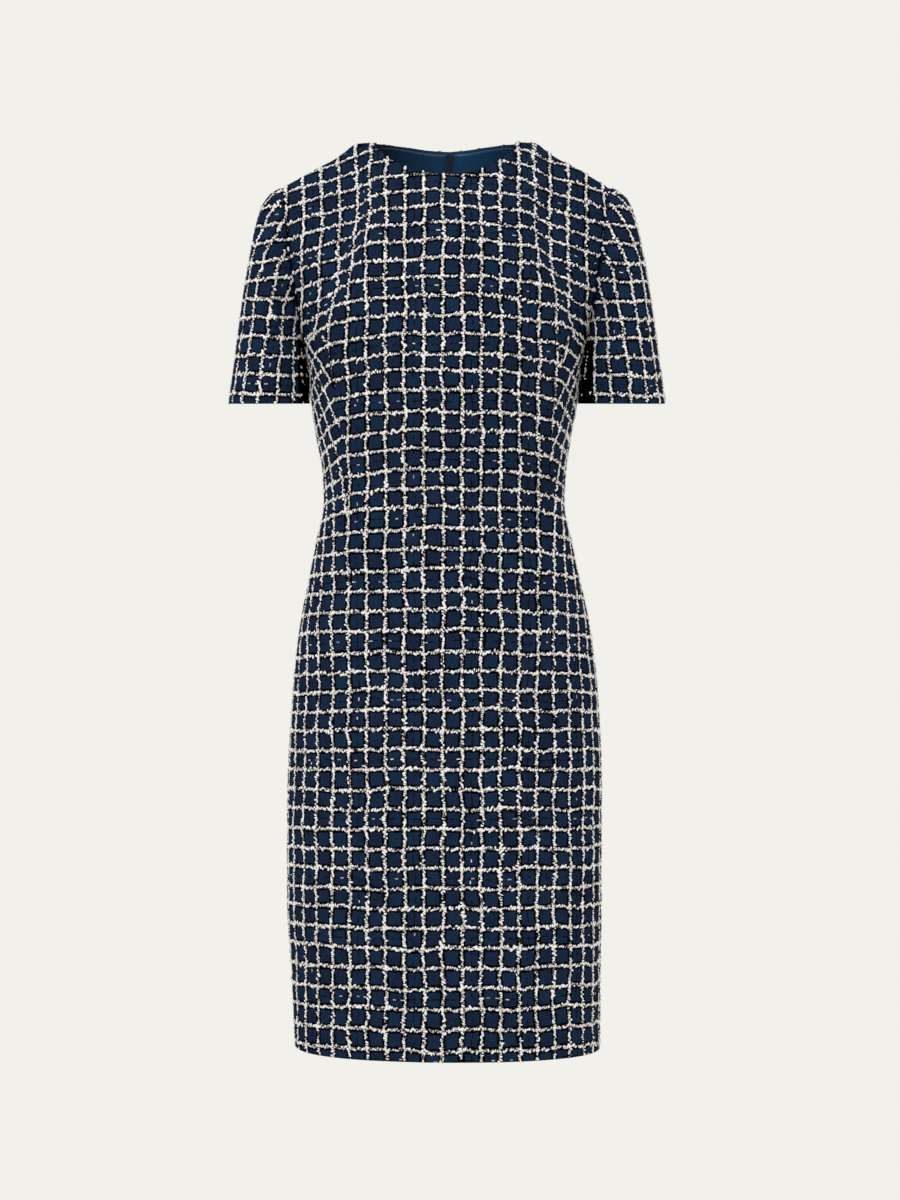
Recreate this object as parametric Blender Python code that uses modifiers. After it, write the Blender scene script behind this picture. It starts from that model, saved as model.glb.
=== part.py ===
"""A knee-length sheath dress with short set-in sleeves, filled out as if it were worn.

Metres, +Z up. The front faces -Y, and the wearer's left arm is at +X. The origin lies midway between
the two points where the shoulder seams meet the neck. Each cloth wall is a grid of outer points with
an inner grid one cloth thickness behind it. "Drop" is always the distance below the origin.
"""
import math
from collections import namedtuple

import bmesh
import bpy
from mathutils import Matrix, Vector

COLLECTION = "sheath_dress"

# Cloth and seams
CLOTH = 0.002
LINING = 0.0008
TAPE = 0.0006
COIL = 0.0014
SEAM_GAP = 0.0003

# Heights, as drops below the origin
HEM_DROP = 0.952
HEM_SIDE_LIFT = 0.0045  # the hem curves up towards the sides, from its lowest place
HEM_LOW_ACROSS = 0.15
HEM_LIFT_START = 0.80
BUST_DROP = 0.245
UNDERARM_RISE = 0.20  # share of the way from the bust line to the shoulder line

# Neck
NECK_HALF_WIDTH = 0.0735
FRONT_NECK_DROP = 0.047
BACK_NECK_DROP = 0.0005
NECK_POWER = 1.9
NECK_ROUNDNESS = 0.55
FRONT_DOME = 0.010  # how far the chest form would rise inside the neck, above the shoulder line
BACK_DOME = 0.047

# Centre back
BACK_SEAM_SHIFT = 0.0045  # the zip stands a little to the wearer's left at the neck
BACK_SEAM_STRAIGHT_DROP = 0.40

# Sleeves. Each hem's middle and half width are given for the side it hangs on, 1 or -1.
SleeveHem = namedtuple("SleeveHem", "middle_x half_width")
SLEEVE_HEMS = {1: SleeveHem(0.1846, 0.0454), -1: SleeveHem(0.1860, 0.0420)}
SLEEVE_HEM_Y = -0.004
SLEEVE_HEM_DROP = 0.2750
SLEEVE_HEM_HALF_DEPTH = 0.0620
SLEEVE_HEM_ROUNDNESS = 2.1
SLEEVE_HEM_TILT = 0.104  # the front edge hangs lower than the back edge, as a slope

# How finely the walls are divided
SKIRT_ROWS = 23
UNDERARM_ROWS = 2
NECK_COLUMNS = 5
SIDE_COLUMNS = 9
SLEEVE_ROWS = 9
ARMHOLE_STEPS = (0.0, 0.009, 0.032, 0.08, 0.16, 0.27, 0.39, 0.52, 0.65, 0.77, 0.88, 0.95, 1.0)

FRONT = -1
BACK = 1

Ring = namedtuple("Ring", "drop half_width sway front back roundness")
RINGS = (
    Ring(0.245, 0.1410, -0.0015, 0.1290, 0.1060, 2.25),
    Ring(0.275, 0.1390, -0.0018, 0.1275, 0.1020, 2.25),
    Ring(0.314, 0.1328, -0.0026, 0.1190, 0.0930, 2.20),
    Ring(0.350, 0.1272, -0.0018, 0.1085, 0.0855, 2.15),
    Ring(0.380, 0.1260, -0.0021, 0.1035, 0.0845, 2.15),
    Ring(0.419, 0.1332, -0.0021, 0.1050, 0.0910, 2.20),
    Ring(0.461, 0.1420, -0.0018, 0.1090, 0.1020, 2.25),
    Ring(0.524, 0.1538, -0.0010, 0.1125, 0.1150, 2.30),
    Ring(0.590, 0.1600, -0.0008, 0.1130, 0.1190, 2.35),
    Ring(0.692, 0.1638, -0.0015, 0.1110, 0.1155, 2.35),
    Ring(0.797, 0.1636, -0.0018, 0.1080, 0.1090, 2.30),
    Ring(0.881, 0.1607, 0.0000, 0.1060, 0.1050, 2.25),
    Ring(0.952, 0.1586, 0.0018, 0.1040, 0.1030, 2.20),
)

# The chest between the bust line and the shoulder line, as rises from 0 to 1. Half_width is the
# armhole edge's distance from the centre plane. The two other widths are how wide the front's and the
# back's form would be if it went on past the armhole, down to the side plane.
Chest = namedtuple("Chest", "rise half_width front_width back_width")
CHEST = (
    Chest(0.00, 0.1410, 0.1410, 0.1410),
    Chest(0.10, 0.1448, 0.1448, 0.1448),
    Chest(0.20, 0.1500, 0.1500, 0.1500),
    Chest(0.25, 0.1512, 0.1532, 0.1542),
    Chest(0.30, 0.1530, 0.1566, 0.1586),
    Chest(0.40, 0.1562, 0.1634, 0.1674),
    Chest(0.55, 0.1604, 0.1726, 0.1796),
    Chest(0.75, 0.1662, 0.1826, 0.1926),
    Chest(0.90, 0.1696, 0.1878, 0.1992),
    Chest(1.00, 0.1715, 0.1900, 0.2020),
)

Shoulder = namedtuple("Shoulder", "reach drop")
SHOULDER = (
    Shoulder(0.0000, 0.0000),
    Shoulder(0.0735, 0.0000),
    Shoulder(0.0945, 0.0012),
    Shoulder(0.1050, 0.0088),
    Shoulder(0.1170, 0.0170),
    Shoulder(0.1350, 0.0260),
    Shoulder(0.1500, 0.0346),
    Shoulder(0.1715, 0.0464),
    Shoulder(0.2000, 0.0620),
)

# How the sleeve leaves the armhole. Turn runs from the underarm, 0, to the shoulder, 0.5. Reach and
# settle are the lengths over which it keeps its first and its last direction, and lean is how far
# it slopes out at its hem.
SleeveStart = namedtuple("SleeveStart", "turn out forward down reach lean settle")
SLEEVE_START = (
    SleeveStart(0.00, -0.10, 0.00, 1.00, 0.014, 0.00, 0.034),
    SleeveStart(0.08, 0.30, 0.30, 0.90, 0.020, 0.01, 0.040),
    SleeveStart(0.22, 0.72, 0.40, 0.57, 0.042, 0.08, 0.085),
    SleeveStart(0.38, 0.87, 0.18, 0.42, 0.036, 0.12, 0.155),
    SleeveStart(0.50, 0.95, 0.00, 0.31, 0.030, 0.13, 0.200),
)

# The soft drag folds of the front, each a trough from beside the neck to the underarm
Fold = namedtuple("Fold", "start_x start_drop bend_x bend_drop end_x end_drop depth width")
FOLDS = (
    Fold(0.090, 0.050, 0.098, 0.130, 0.143, 0.216, 0.0045, 0.011),
    Fold(-0.080, 0.058, -0.090, 0.130, -0.140, 0.216, 0.0040, 0.011),
)
FOLD_STEPS = 14
FOLD_END_POWER = 0.6
FOLD_EDGE_POWER = 8  # the folds die out at the seams

# Lining, where it shows inside the back of the neck. It has the back's own columns and chest rows.
LINING_TOP = 0.985  # how far up the back's chest rows it reaches
LINING_ZIP_CLEARANCE = 0.005
LINING_SIDE_COLUMNS = 5

# Zip
ZIP_TOP = 0.99  # how far up the back's centre column it reaches
ZIP_END_DROP = 0.53
ZIP_CLEARANCE = 0.0007
COIL_HALF_WIDTH = 0.0020
TAPE_OUTER_X = 0.0125
SLIDER_DROP = 0.016
SLIDER_SIZE = Vector((0.0052, 0.0070, 0.0018))
ARCH_WIDTH = 0.0014
ARCH_INNER_RADIUS = 0.0012
ARCH_THICKNESS = 0.0008
ARCH_STEPS = 10
PULL_AXIS_HEIGHT = 0.0014
PULL_LENGTH = 0.021
PULL_TOP_HALF_WIDTH = 0.0021
PULL_END_HALF_WIDTH = 0.0032
PULL_THICKNESS = 0.0010
PULL_BAR = 0.0012
PULL_HOLE_LENGTH = 0.0024
PULL_HOLE_HALF_WIDTH = 0.0012
PULL_END_CLEARANCE = 0.0004
PULL_ROUND_STEPS = 8

SMOOTH_ANGLE = math.radians(40)
TINY = 1e-4
BISECTIONS = 40


def clear_scene():
    for thing in list(bpy.data.objects):
        bpy.data.objects.remove(thing, do_unlink=True)


def make_collection(name):
    collection = bpy.data.collections.new(name)
    bpy.context.scene.collection.children.link(collection)
    return collection


def material(name, colour, roughness, metallic=0.0):
    made = bpy.data.materials.new(name)
    made.use_nodes = True
    shader = made.node_tree.nodes["Principled BSDF"]
    shader.inputs["Base Color"].default_value = (*colour, 1.0)
    shader.inputs["Roughness"].default_value = roughness
    shader.inputs["Metallic"].default_value = metallic
    return made


def read_table(rows, column, at):
    """A smooth reading of one column of a table, by a cubic that never overshoots its rows."""
    xs = [row[0] for row in rows]
    ys = [getattr(row, column) for row in rows]
    at = min(max(at, xs[0]), xs[-1])
    k = max(i for i in range(len(xs) - 1) if xs[i] <= at)
    slopes = [(ys[i + 1] - ys[i]) / (xs[i + 1] - xs[i]) for i in range(len(xs) - 1)]

    def tangent(i):
        if i == 0 or i == len(xs) - 1:
            return slopes[min(i, len(slopes) - 1)]
        before, after = slopes[i - 1], slopes[i]
        return 0.0 if before * after <= 0 else 2 * before * after / (before + after)

    width = xs[k + 1] - xs[k]
    t = (at - xs[k]) / width
    return (
        (1 + 2 * t) * (1 - t) ** 2 * ys[k]
        + t * (1 - t) ** 2 * width * tangent(k)
        + t * t * (3 - 2 * t) * ys[k + 1]
        + t * t * (t - 1) * width * tangent(k + 1)
    )


def power(value, exponent):
    return math.copysign(abs(value) ** exponent, value)


def depth_column(side):
    return "front" if side == FRONT else "back"


def form_at(side, height):
    """The half width, depth, sway, roundness and edge angle of the body form at a height.

    A height below 0 is metres below the bust line. Above 0 it is the angle by which the form has
    leaned in from upright at the bust line towards level at the shoulder line.
    """
    column = depth_column(side)
    if height <= 0:
        drop = BUST_DROP - height
        roundness = read_table(RINGS, "roundness", drop)
        return (
            read_table(RINGS, "half_width", drop),
            read_table(RINGS, column, drop),
            read_table(RINGS, "sway", drop),
            roundness,
            math.pi / 2,
        )
    rise = min(math.sin(height), 1.0)
    bust = RINGS[0]
    edge_x = read_table(CHEST, "half_width", rise)
    full_width = edge_x
    if rise > UNDERARM_RISE:
        full_width = read_table(CHEST, column + "_width", rise)
    edge_angle = math.asin(min(1.0, edge_x / full_width) ** (bust.roundness / 2))
    sway = bust.sway * (1 - rise)
    return full_width, getattr(bust, column), sway, bust.roundness, edge_angle


def shoulder_height(side, x):
    dome = FRONT_DOME if side == FRONT else BACK_DOME
    inside = max(0.0, 1 - (x / NECK_HALF_WIDTH) ** 2)
    return dome * inside**2 - read_table(SHOULDER, "drop", abs(x))


def neck_height(side, x):
    """The neck edge's height at x, or the shoulder line's beyond the neck."""
    if abs(x) >= NECK_HALF_WIDTH:
        return shoulder_height(side, x)
    drop = FRONT_NECK_DROP if side == FRONT else BACK_NECK_DROP
    return -drop * (1 - abs(x / NECK_HALF_WIDTH) ** NECK_POWER) ** NECK_ROUNDNESS


def fold_path(fold):
    for k in range(FOLD_STEPS + 1):
        t = k / FOLD_STEPS
        start, bend, end = (1 - t) ** 2, 2 * t * (1 - t), t * t
        x = start * fold.start_x + bend * fold.bend_x + end * fold.end_x
        drop = start * fold.start_drop + bend * fold.bend_drop + end * fold.end_drop
        yield x, drop, math.sin(math.pi * t) ** FOLD_END_POWER


def fold_depth(x, drop):
    """How far the front's drag folds sink the cloth at a place."""
    sunk = 0.0
    for fold in FOLDS:
        nearest = max(
            strength * math.exp(-((x - fx) ** 2 + (drop - fd) ** 2) / fold.width**2)
            for fx, fd, strength in fold_path(fold)
        )
        sunk += fold.depth * nearest
    return sunk


def hem_lift(across, drop):
    fade = max(0.0, (drop - HEM_LIFT_START) / (HEM_DROP - HEM_LIFT_START))
    return HEM_SIDE_LIFT * (across - HEM_LOW_ACROSS) ** 2 * fade**2


def form_point(side, across, height):
    """A point of the outer surface without its folds. Across runs from -1 to 1, edge to edge."""
    width, depth, sway, roundness, edge_angle = form_at(side, height)
    angle = across * edge_angle
    x = sway + width * power(math.sin(angle), 2 / roundness)
    y = side * depth * power(math.cos(angle), 2 / roundness)
    if height <= 0:
        return Vector((x, y, height - BUST_DROP + hem_lift(across, BUST_DROP - height)))
    z = -BUST_DROP + (shoulder_height(side, x) + BUST_DROP) * math.sin(height)
    return Vector((x, y * math.cos(height), z))


def form_normal(side, across, height):
    """The outward direction of the body form."""
    along = form_point(side, across + TINY, height) - form_point(side, across - TINY, height)
    up = form_point(side, across, height + TINY) - form_point(side, across, height - TINY)
    return along.cross(up).normalized() * -side


def body_point(side, across, height):
    point = form_point(side, across, height)
    if side == BACK or abs(across) == 1:
        return point
    sunk = fold_depth(point.x, -point.z) * (1 - abs(across) ** FOLD_EDGE_POWER)
    return point - form_normal(side, across, height) * sunk


def across_at(side, x, height):
    """The across value at which the form passes x."""
    width, _, sway, roundness, edge_angle = form_at(side, height)
    ratio = (x - sway) / width
    return math.copysign(math.asin(abs(ratio) ** (roundness / 2)), ratio) / edge_angle


def top_height(side, across):
    """The height value at which a column of the cloth meets the neck edge or the shoulder seam."""
    low, high = math.asin(UNDERARM_RISE), math.pi / 2
    if abs(form_point(side, across, high).x) >= NECK_HALF_WIDTH - TINY / 10:
        return high
    for _ in range(BISECTIONS):
        middle = (low + high) / 2
        point = form_point(side, across, middle)
        if point.z < neck_height(side, point.x):
            low = middle
        else:
            high = middle
    return low


def height_at_drop(side, x, drop):
    """The height value of the form at a place given by x and its drop."""
    low, high = BUST_DROP - HEM_DROP, math.pi / 2
    for _ in range(BISECTIONS):
        middle = (low + high) / 2
        if form_point(side, across_at(side, x, middle), middle).z < -drop:
            low = middle
        else:
            high = middle
    return low


def even_steps(start, end, count):
    return [start + (end - start) * k / count for k in range(count + 1)]


def column_heights(side, across):
    """The heights of a column's rows, from the hem to its top."""
    underarm = math.asin(UNDERARM_RISE)
    top = top_height(side, across)
    skirt = even_steps(BUST_DROP - HEM_DROP, 0.0, SKIRT_ROWS)
    bust = even_steps(0.0, underarm, UNDERARM_ROWS)
    chest = [underarm + (top - underarm) * step for step in ARMHOLE_STEPS]
    return skirt + bust[1:] + chest[1:]


def half_columns(side):
    """Across values from the centre to the edge, one of them at the neck's corner."""
    corner = across_at(side, NECK_HALF_WIDTH, math.pi / 2)
    return even_steps(0.0, corner, NECK_COLUMNS) + even_steps(corner, 1.0, SIDE_COLUMNS)[1:]


def back_seam_x(drop):
    """Where the centre-back seam runs."""
    fade = max(0.0, 1 - drop / BACK_SEAM_STRAIGHT_DROP)
    return BACK_SEAM_SHIFT * fade * fade * (3 - 2 * fade)


def inset(grid, sides, distance):
    """Moves the named edges of a grid of points inwards along the cloth."""
    rows, columns = len(grid), len(grid[0])
    moves = []
    if "bottom" in sides:
        moves += [((0, j), (1, j)) for j in range(columns)]
    if "top" in sides:
        moves += [((rows - 1, j), (rows - 2, j)) for j in range(columns)]
    if "low" in sides:
        moves += [((i, 0), (i, 1)) for i in range(rows)]
    if "high" in sides:
        moves += [((i, columns - 1), (i, columns - 2)) for i in range(rows)]
    shifts = [
        (edge, (grid[near[0]][near[1]] - grid[edge[0]][edge[1]]).normalized() * distance)
        for edge, near in moves
    ]
    for (i, j), shift in shifts:
        grid[i][j] = grid[i][j] + shift


def add_faces(mesh, rows, columns, at, loop):
    """The quads of a grid of vertices. A loop joins its last column to its first."""
    spans = columns if loop else columns - 1
    for i in range(rows - 1):
        for j in range(spans):
            k = (j + 1) % columns
            mesh.faces.new((at(i, j), at(i, k), at(i + 1, k), at(i + 1, j)))


def wall(name, outer, inner, paint, collection, loop=False):
    """A closed wall between two grids of points."""
    rows, columns = len(outer), len(outer[0])
    mesh = bmesh.new()
    sides = [[mesh.verts.new(point) for row in grid for point in row] for grid in (outer, inner)]
    for side in sides:
        add_faces(mesh, rows, columns, lambda i, j, side=side: side[i * columns + j], loop)
    rim = [(0, j) for j in range(columns)]
    far_rim = [(rows - 1, j) for j in range(columns)]
    if loop:
        rims = (rim + rim[:1], far_rim + far_rim[:1])
    else:
        ends = [(i, columns - 1) for i in range(rows)]
        starts = [(i, 0) for i in range(rows)]
        rims = (rim, far_rim, starts, ends)
    for edge in rims:
        for (i, j), (k, m) in zip(edge, edge[1:]):
            a, b = i * columns + j, k * columns + m
            mesh.faces.new((sides[0][a], sides[0][b], sides[1][b], sides[1][a]))
    bmesh.ops.recalc_face_normals(mesh, faces=mesh.faces)
    return finish(name, mesh, paint, collection)


def finish(name, mesh, paint, collection):
    data = bpy.data.meshes.new(name)
    mesh.to_mesh(data)
    mesh.free()
    data.materials.append(paint)
    data.shade_smooth()
    data.set_sharp_from_angle(angle=SMOOTH_ANGLE)
    made = bpy.data.objects.new(name, data)
    collection.objects.link(made)
    return made


def panel_places(side, columns_at):
    """The (across, height) places of a panel's grid. A column gives its across value at a height."""
    heights = [column_heights(side, column(math.pi / 2)) for column in columns_at]
    return [
        [(column(height), height) for column, height in zip(columns_at, row)]
        for row in zip(*heights)
    ]


def panel(name, side, columns_at, seams, paint, collection):
    outer, normals = [], []
    for row in panel_places(side, columns_at):
        outer.append([body_point(side, across, height) for across, height in row])
        normals.append([form_normal(side, across, height) for across, height in row])
    inset(outer, seams, SEAM_GAP / 2)
    inner = [
        [point - normal * CLOTH for point, normal in zip(*rows)] for rows in zip(outer, normals)
    ]
    return wall(name, outer, inner, paint, collection)


def front_panel(paint, collection):
    half = half_columns(FRONT)
    across = [-value for value in reversed(half[1:])] + half
    columns = [lambda height, value=value: value for value in across]
    panel("front", FRONT, columns, ("top", "low", "high"), paint, collection)


def seam_across(height):
    """The across value of the centre-back seam at a height."""
    drop = -form_point(BACK, 0.0, height).z
    return across_at(BACK, back_seam_x(drop), height)


def back_columns(direction):
    """The columns of the wearer's left (1) or right (-1) back, from the centre-back seam outwards."""
    return [
        lambda height, value=value: value * direction + seam_across(height) * (1 - value)
        for value in half_columns(BACK)
    ]


def back_panels(paint, collection):
    for name, direction in (("back_left", 1), ("back_right", -1)):
        panel(name, BACK, back_columns(direction), ("top", "low", "high"), paint, collection)


def armhole_loop(direction):
    """The edge round the wearer's left (1) or right (-1) armhole: its points and outward directions.

    It runs from the underarm up the front, over the shoulder and down the back, and the right one is
    given as its mirror image, so that both lie at +X.
    """
    underarm = math.asin(UNDERARM_RISE)
    heights = [underarm + (math.pi / 2 - underarm) * step for step in ARMHOLE_STEPS]
    stations = [(FRONT, height) for height in heights]
    stations += [(BACK, height) for height in reversed(heights[1:-1])]
    flip = Vector((direction, 1, 1))
    points = [body_point(side, direction, height) * flip for side, height in stations]
    normals = [form_normal(side, direction, height) * flip for side, height in stations]
    return points, normals


def loop_turns(points):
    """How far round its loop each point lies, as a share of the loop's length."""
    lengths = [(points[k - 1] - point).length for k, point in enumerate(points)]
    total = sum(lengths)
    return [sum(lengths[1 : k + 1]) / total for k in range(len(points))]


def sleeve_hem_point(direction, turn):
    angle = 2 * math.pi * turn
    round_off = 2 / SLEEVE_HEM_ROUNDNESS
    hem = SLEEVE_HEMS[direction]
    x = hem.middle_x - hem.half_width * power(math.cos(angle), round_off)
    y = -SLEEVE_HEM_HALF_DEPTH * power(math.sin(angle), round_off)
    return Vector((x, SLEEVE_HEM_Y + y, SLEEVE_HEM_TILT * y - SLEEVE_HEM_DROP))


def sleeve_grids(direction):
    """The outer and inner points of a sleeve at +X, from the armhole to its hem."""
    points, normals = armhole_loop(direction)
    count = len(points)
    turns = loop_turns(points)
    steps = even_steps(0.0, 1.0, SLEEVE_ROWS)
    outer = [[None] * count for _ in steps]
    first_normals = []
    for k, (point, normal, turn) in enumerate(zip(points, normals, turns)):
        tangent = (points[(k + 1) % count] - points[k - 1]).normalized()
        into_hole = tangent.cross(normal).normalized()
        near = min(turn, 1 - turn)
        forward = -1 if turn <= 0.5 else 1
        leave = Vector(
            (
                read_table(SLEEVE_START, "out", near),
                forward * read_table(SLEEVE_START, "forward", near),
                -read_table(SLEEVE_START, "down", near),
            )
        ).normalized()
        bend = max(0.0, math.atan2(leave.dot(normal), leave.dot(into_hole)))
        start = point + (into_hole * math.cos(bend / 2) + normal * math.sin(bend / 2)) * SEAM_GAP
        end = sleeve_hem_point(direction, turn)
        second = start + leave * read_table(SLEEVE_START, "reach", near)
        lean = Vector((-read_table(SLEEVE_START, "lean", near), 0, 1)).normalized()
        third = end + lean * read_table(SLEEVE_START, "settle", near)
        first_normals.append(leave.cross(tangent).normalized())
        for i, t in enumerate(steps):
            outer[i][k] = (
                start * (1 - t) ** 3
                + second * 3 * t * (1 - t) ** 2
                + third * 3 * t * t * (1 - t)
                + end * t**3
            )
    inner = [[p - n * CLOTH for p, n in zip(outer[0], first_normals)]]
    for i in range(1, len(outer)):
        row = []
        for k in range(count):
            round_loop = outer[i][(k + 1) % count] - outer[i][k - 1]
            down = outer[min(i + 1, len(outer) - 1)][k] - outer[i - 1][k]
            row.append(outer[i][k] - down.cross(round_loop).normalized() * CLOTH)
        inner.append(row)
    return outer, inner


def sleeves(paint, collection):
    for name, direction in (("sleeve_left", 1), ("sleeve_right", -1)):
        flip = Vector((direction, 1, 1))
        grids = [[[point * flip for point in row] for row in grid] for grid in sleeve_grids(direction)]
        wall(name, *grids, paint, collection, loop=True)


def strip(name, places, depth, thickness, paint, collection):
    """A thin layer inside the back. Places is a grid of (across, height), depth how far in it lies."""
    outer, inner = [], []
    for row in places:
        points = [(form_point(BACK, *place), form_normal(BACK, *place)) for place in row]
        outer.append([point - normal * depth for point, normal in points])
        inner.append([point - normal * (depth + thickness) for point, normal in points])
    wall(name, outer, inner, paint, collection)


def zip_strip(name, inner_x, outer_x, thickness, paint, collection):
    """One of the zip's long strips. Its edges are given from the centre-back seam."""
    places = []
    for height in column_heights(BACK, seam_across(math.pi / 2)):
        drop = -form_point(BACK, seam_across(height), height).z
        if drop > ZIP_END_DROP:
            continue
        edges = (inner_x, (inner_x + outer_x) / 2, outer_x)
        places.append([(across_at(BACK, back_seam_x(drop) + x, height), height) for x in edges])
    places[-1] = [(across, height * ZIP_TOP) for across, height in places[-1]]
    strip(name, places, CLOTH + ZIP_CLEARANCE, thickness, paint, collection)


def zip_strips(tape_paint, coil_paint, collection):
    zip_strip("zip_coil", -COIL_HALF_WIDTH, COIL_HALF_WIDTH, COIL, coil_paint, collection)
    for name, direction in (("zip_tape_left", 1), ("zip_tape_right", -1)):
        near = direction * (COIL_HALF_WIDTH + SEAM_GAP)
        zip_strip(name, near, direction * TAPE_OUTER_X, TAPE, tape_paint, collection)


def lining_panels(paint, collection):
    """The upper back lining, which stops short of the zip's coil and hangs clear of its tapes."""
    depth = CLOTH + ZIP_CLEARANCE + TAPE + SEAM_GAP
    underarm = math.asin(UNDERARM_RISE)
    first_row = SKIRT_ROWS + UNDERARM_ROWS
    for name, direction in (("lining_back_left", 1), ("lining_back_right", -1)):

        def beside_zip(height, direction=direction):
            drop = -form_point(BACK, 0.0, height).z
            x = back_seam_x(drop) + direction * LINING_ZIP_CLEARANCE
            return across_at(BACK, x, height)

        shared = back_columns(direction)[1 : NECK_COLUMNS + LINING_SIDE_COLUMNS + 1]
        places = panel_places(BACK, [beside_zip] + shared)[first_row:]
        places[-1] = [
            (across, underarm + (height - underarm) * LINING_TOP) for across, height in places[-1]
        ]
        strip(name, places, depth, LINING, paint, collection)


def slider_frame():
    """The matrix that sets the slider on the outside of the back: X across, Y up the seam, Z out."""
    x = back_seam_x(SLIDER_DROP)
    height = height_at_drop(BACK, x, SLIDER_DROP)
    across = across_at(BACK, x, height)
    out = form_normal(BACK, across, height)
    right = Vector((-1, 0, 0))
    up = out.cross(right).normalized()
    frame = Matrix((right, up, out)).transposed().to_4x4()
    frame.translation = form_point(BACK, across, height) + out * SEAM_GAP
    return frame


def box_mesh(size, centre):
    mesh = bmesh.new()
    bmesh.ops.create_cube(mesh, size=1.0)
    bmesh.ops.scale(mesh, vec=size, verts=mesh.verts)
    bmesh.ops.translate(mesh, vec=centre, verts=mesh.verts)
    return mesh


def arch_mesh():
    """The slider's arch, which the pull's bar hangs in: a square bar bent over the pull's axis."""
    outer_radius = ARCH_INNER_RADIUS + ARCH_THICKNESS
    foot = SLIDER_SIZE.z / 2
    axis = SLIDER_SIZE.z + PULL_AXIS_HEIGHT
    angles = even_steps(0.0, math.pi, ARCH_STEPS)

    def side_of(radius):
        curve = [(radius * math.cos(a), axis + radius * math.sin(a)) for a in angles]
        return [(radius, foot)] + curve + [(-radius, foot)]

    grids = []
    for radius in (outer_radius, ARCH_INNER_RADIUS):
        grids.append([[Vector((x, y, z)) for x in (-ARCH_WIDTH / 2, ARCH_WIDTH / 2)]
                      for y, z in side_of(radius)])
    return grids


def zip_slider(paint, collection, frame):
    """The slider's rounded body with its arch joined on."""
    centre = Vector((0, 0, SLIDER_SIZE.z / 2))
    body = finish("zip_slider", box_mesh(SLIDER_SIZE, centre), paint, collection)
    rounding = body.modifiers.new("rounding", "BEVEL")
    rounding.width = SLIDER_SIZE.z / 4
    rounding.segments = 2
    arch = wall("zip_slider_arch", *arch_mesh(), paint, collection)
    joining = body.modifiers.new("arch", "BOOLEAN")
    joining.operation = "UNION"
    joining.object = arch
    joining.solver = "EXACT"
    body.matrix_world = frame
    arch.matrix_world = frame
    return arch


def pull_outline():
    """The pull's rim, from the top bar down one side, round the wide end and up the other."""
    top = PULL_BAR / 2
    low = -(PULL_LENGTH - PULL_END_HALF_WIDTH)
    rim = [(-PULL_TOP_HALF_WIDTH, top), (-PULL_TOP_HALF_WIDTH, -PULL_BAR - PULL_HOLE_LENGTH)]
    for angle in even_steps(math.pi, 2 * math.pi, PULL_ROUND_STEPS):
        rim.append((PULL_END_HALF_WIDTH * math.cos(angle), low + PULL_END_HALF_WIDTH * math.sin(angle)))
    rim += [(PULL_TOP_HALF_WIDTH, -PULL_BAR - PULL_HOLE_LENGTH), (PULL_TOP_HALF_WIDTH, top)]
    return rim


def pull_hole():
    top = -PULL_BAR / 2
    low = top - PULL_HOLE_LENGTH
    half = PULL_HOLE_HALF_WIDTH
    return [(-half, top), (half, top), (half, low), (-half, low)]


def zip_pull(paint, collection, frame):
    """The flat pull tab. Its origin is on its hinge, the middle of its top bar."""
    curve = bpy.data.curves.new("zip_pull", "CURVE")
    curve.dimensions = "2D"
    curve.fill_mode = "BOTH"
    curve.extrude = PULL_THICKNESS / 2
    for outline in (pull_outline(), pull_hole()):
        spline = curve.splines.new("POLY")
        spline.points.add(len(outline) - 1)
        for place, (x, y) in zip(spline.points, outline):
            place.co = (x, y, 0.0, 1.0)
        spline.use_cyclic_u = True
    shape = bpy.data.objects.new("zip_pull_outline", curve)
    collection.objects.link(shape)
    bpy.context.view_layer.update()
    evaluated = shape.evaluated_get(bpy.context.evaluated_depsgraph_get())
    mesh = bmesh.new()
    mesh.from_mesh(bpy.data.meshes.new_from_object(evaluated))
    bpy.data.objects.remove(shape, do_unlink=True)
    bmesh.ops.remove_doubles(mesh, verts=mesh.verts, dist=TINY / 100)
    bmesh.ops.recalc_face_normals(mesh, faces=mesh.faces)
    pull = finish("zip_pull", mesh, paint, collection)
    hinge = frame @ Matrix.Translation((0, 0, SLIDER_SIZE.z + PULL_AXIS_HEIGHT))
    pull.matrix_world = hinge @ Matrix.Rotation(pull_tilt(hinge), 4, "X")
    return pull


def pull_tilt(hinge):
    """How far the pull tips in from the slider's face until its end lies just clear of the cloth."""
    end_drop = -hinge.translation.z + PULL_LENGTH * hinge.col[1].z
    x = hinge.translation.x
    height = height_at_drop(BACK, x, end_drop)
    across = across_at(BACK, x, height)
    lift = PULL_THICKNESS / 2 + PULL_END_CLEARANCE
    rest = form_point(BACK, across, height) + form_normal(BACK, across, height) * lift
    local = hinge.inverted() @ rest
    return math.atan2(-local.z, -local.y)


def main():
    clear_scene()
    collection = make_collection(COLLECTION)
    cutters = make_collection(COLLECTION + "_cutters")
    tweed = material("tweed", (0.020, 0.036, 0.066), 0.9)
    satin = material("lining_satin", (0.006, 0.024, 0.060), 0.45)
    tape = material("zip_tape", (0.008, 0.020, 0.045), 0.8)
    coil = material("zip_coil", (0.006, 0.014, 0.034), 0.5)
    enamel = material("zip_enamel", (0.010, 0.024, 0.055), 0.35, 0.6)
    front_panel(tweed, collection)
    back_panels(tweed, collection)
    sleeves(tweed, collection)
    lining_panels(satin, collection)
    zip_strips(tape, coil, collection)
    frame = slider_frame()
    arch = zip_slider(enamel, collection, frame)
    collection.objects.unlink(arch)
    cutters.objects.link(arch)
    arch.hide_render = True
    arch.display_type = "WIRE"
    zip_pull(enamel, collection, frame)


main()
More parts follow.
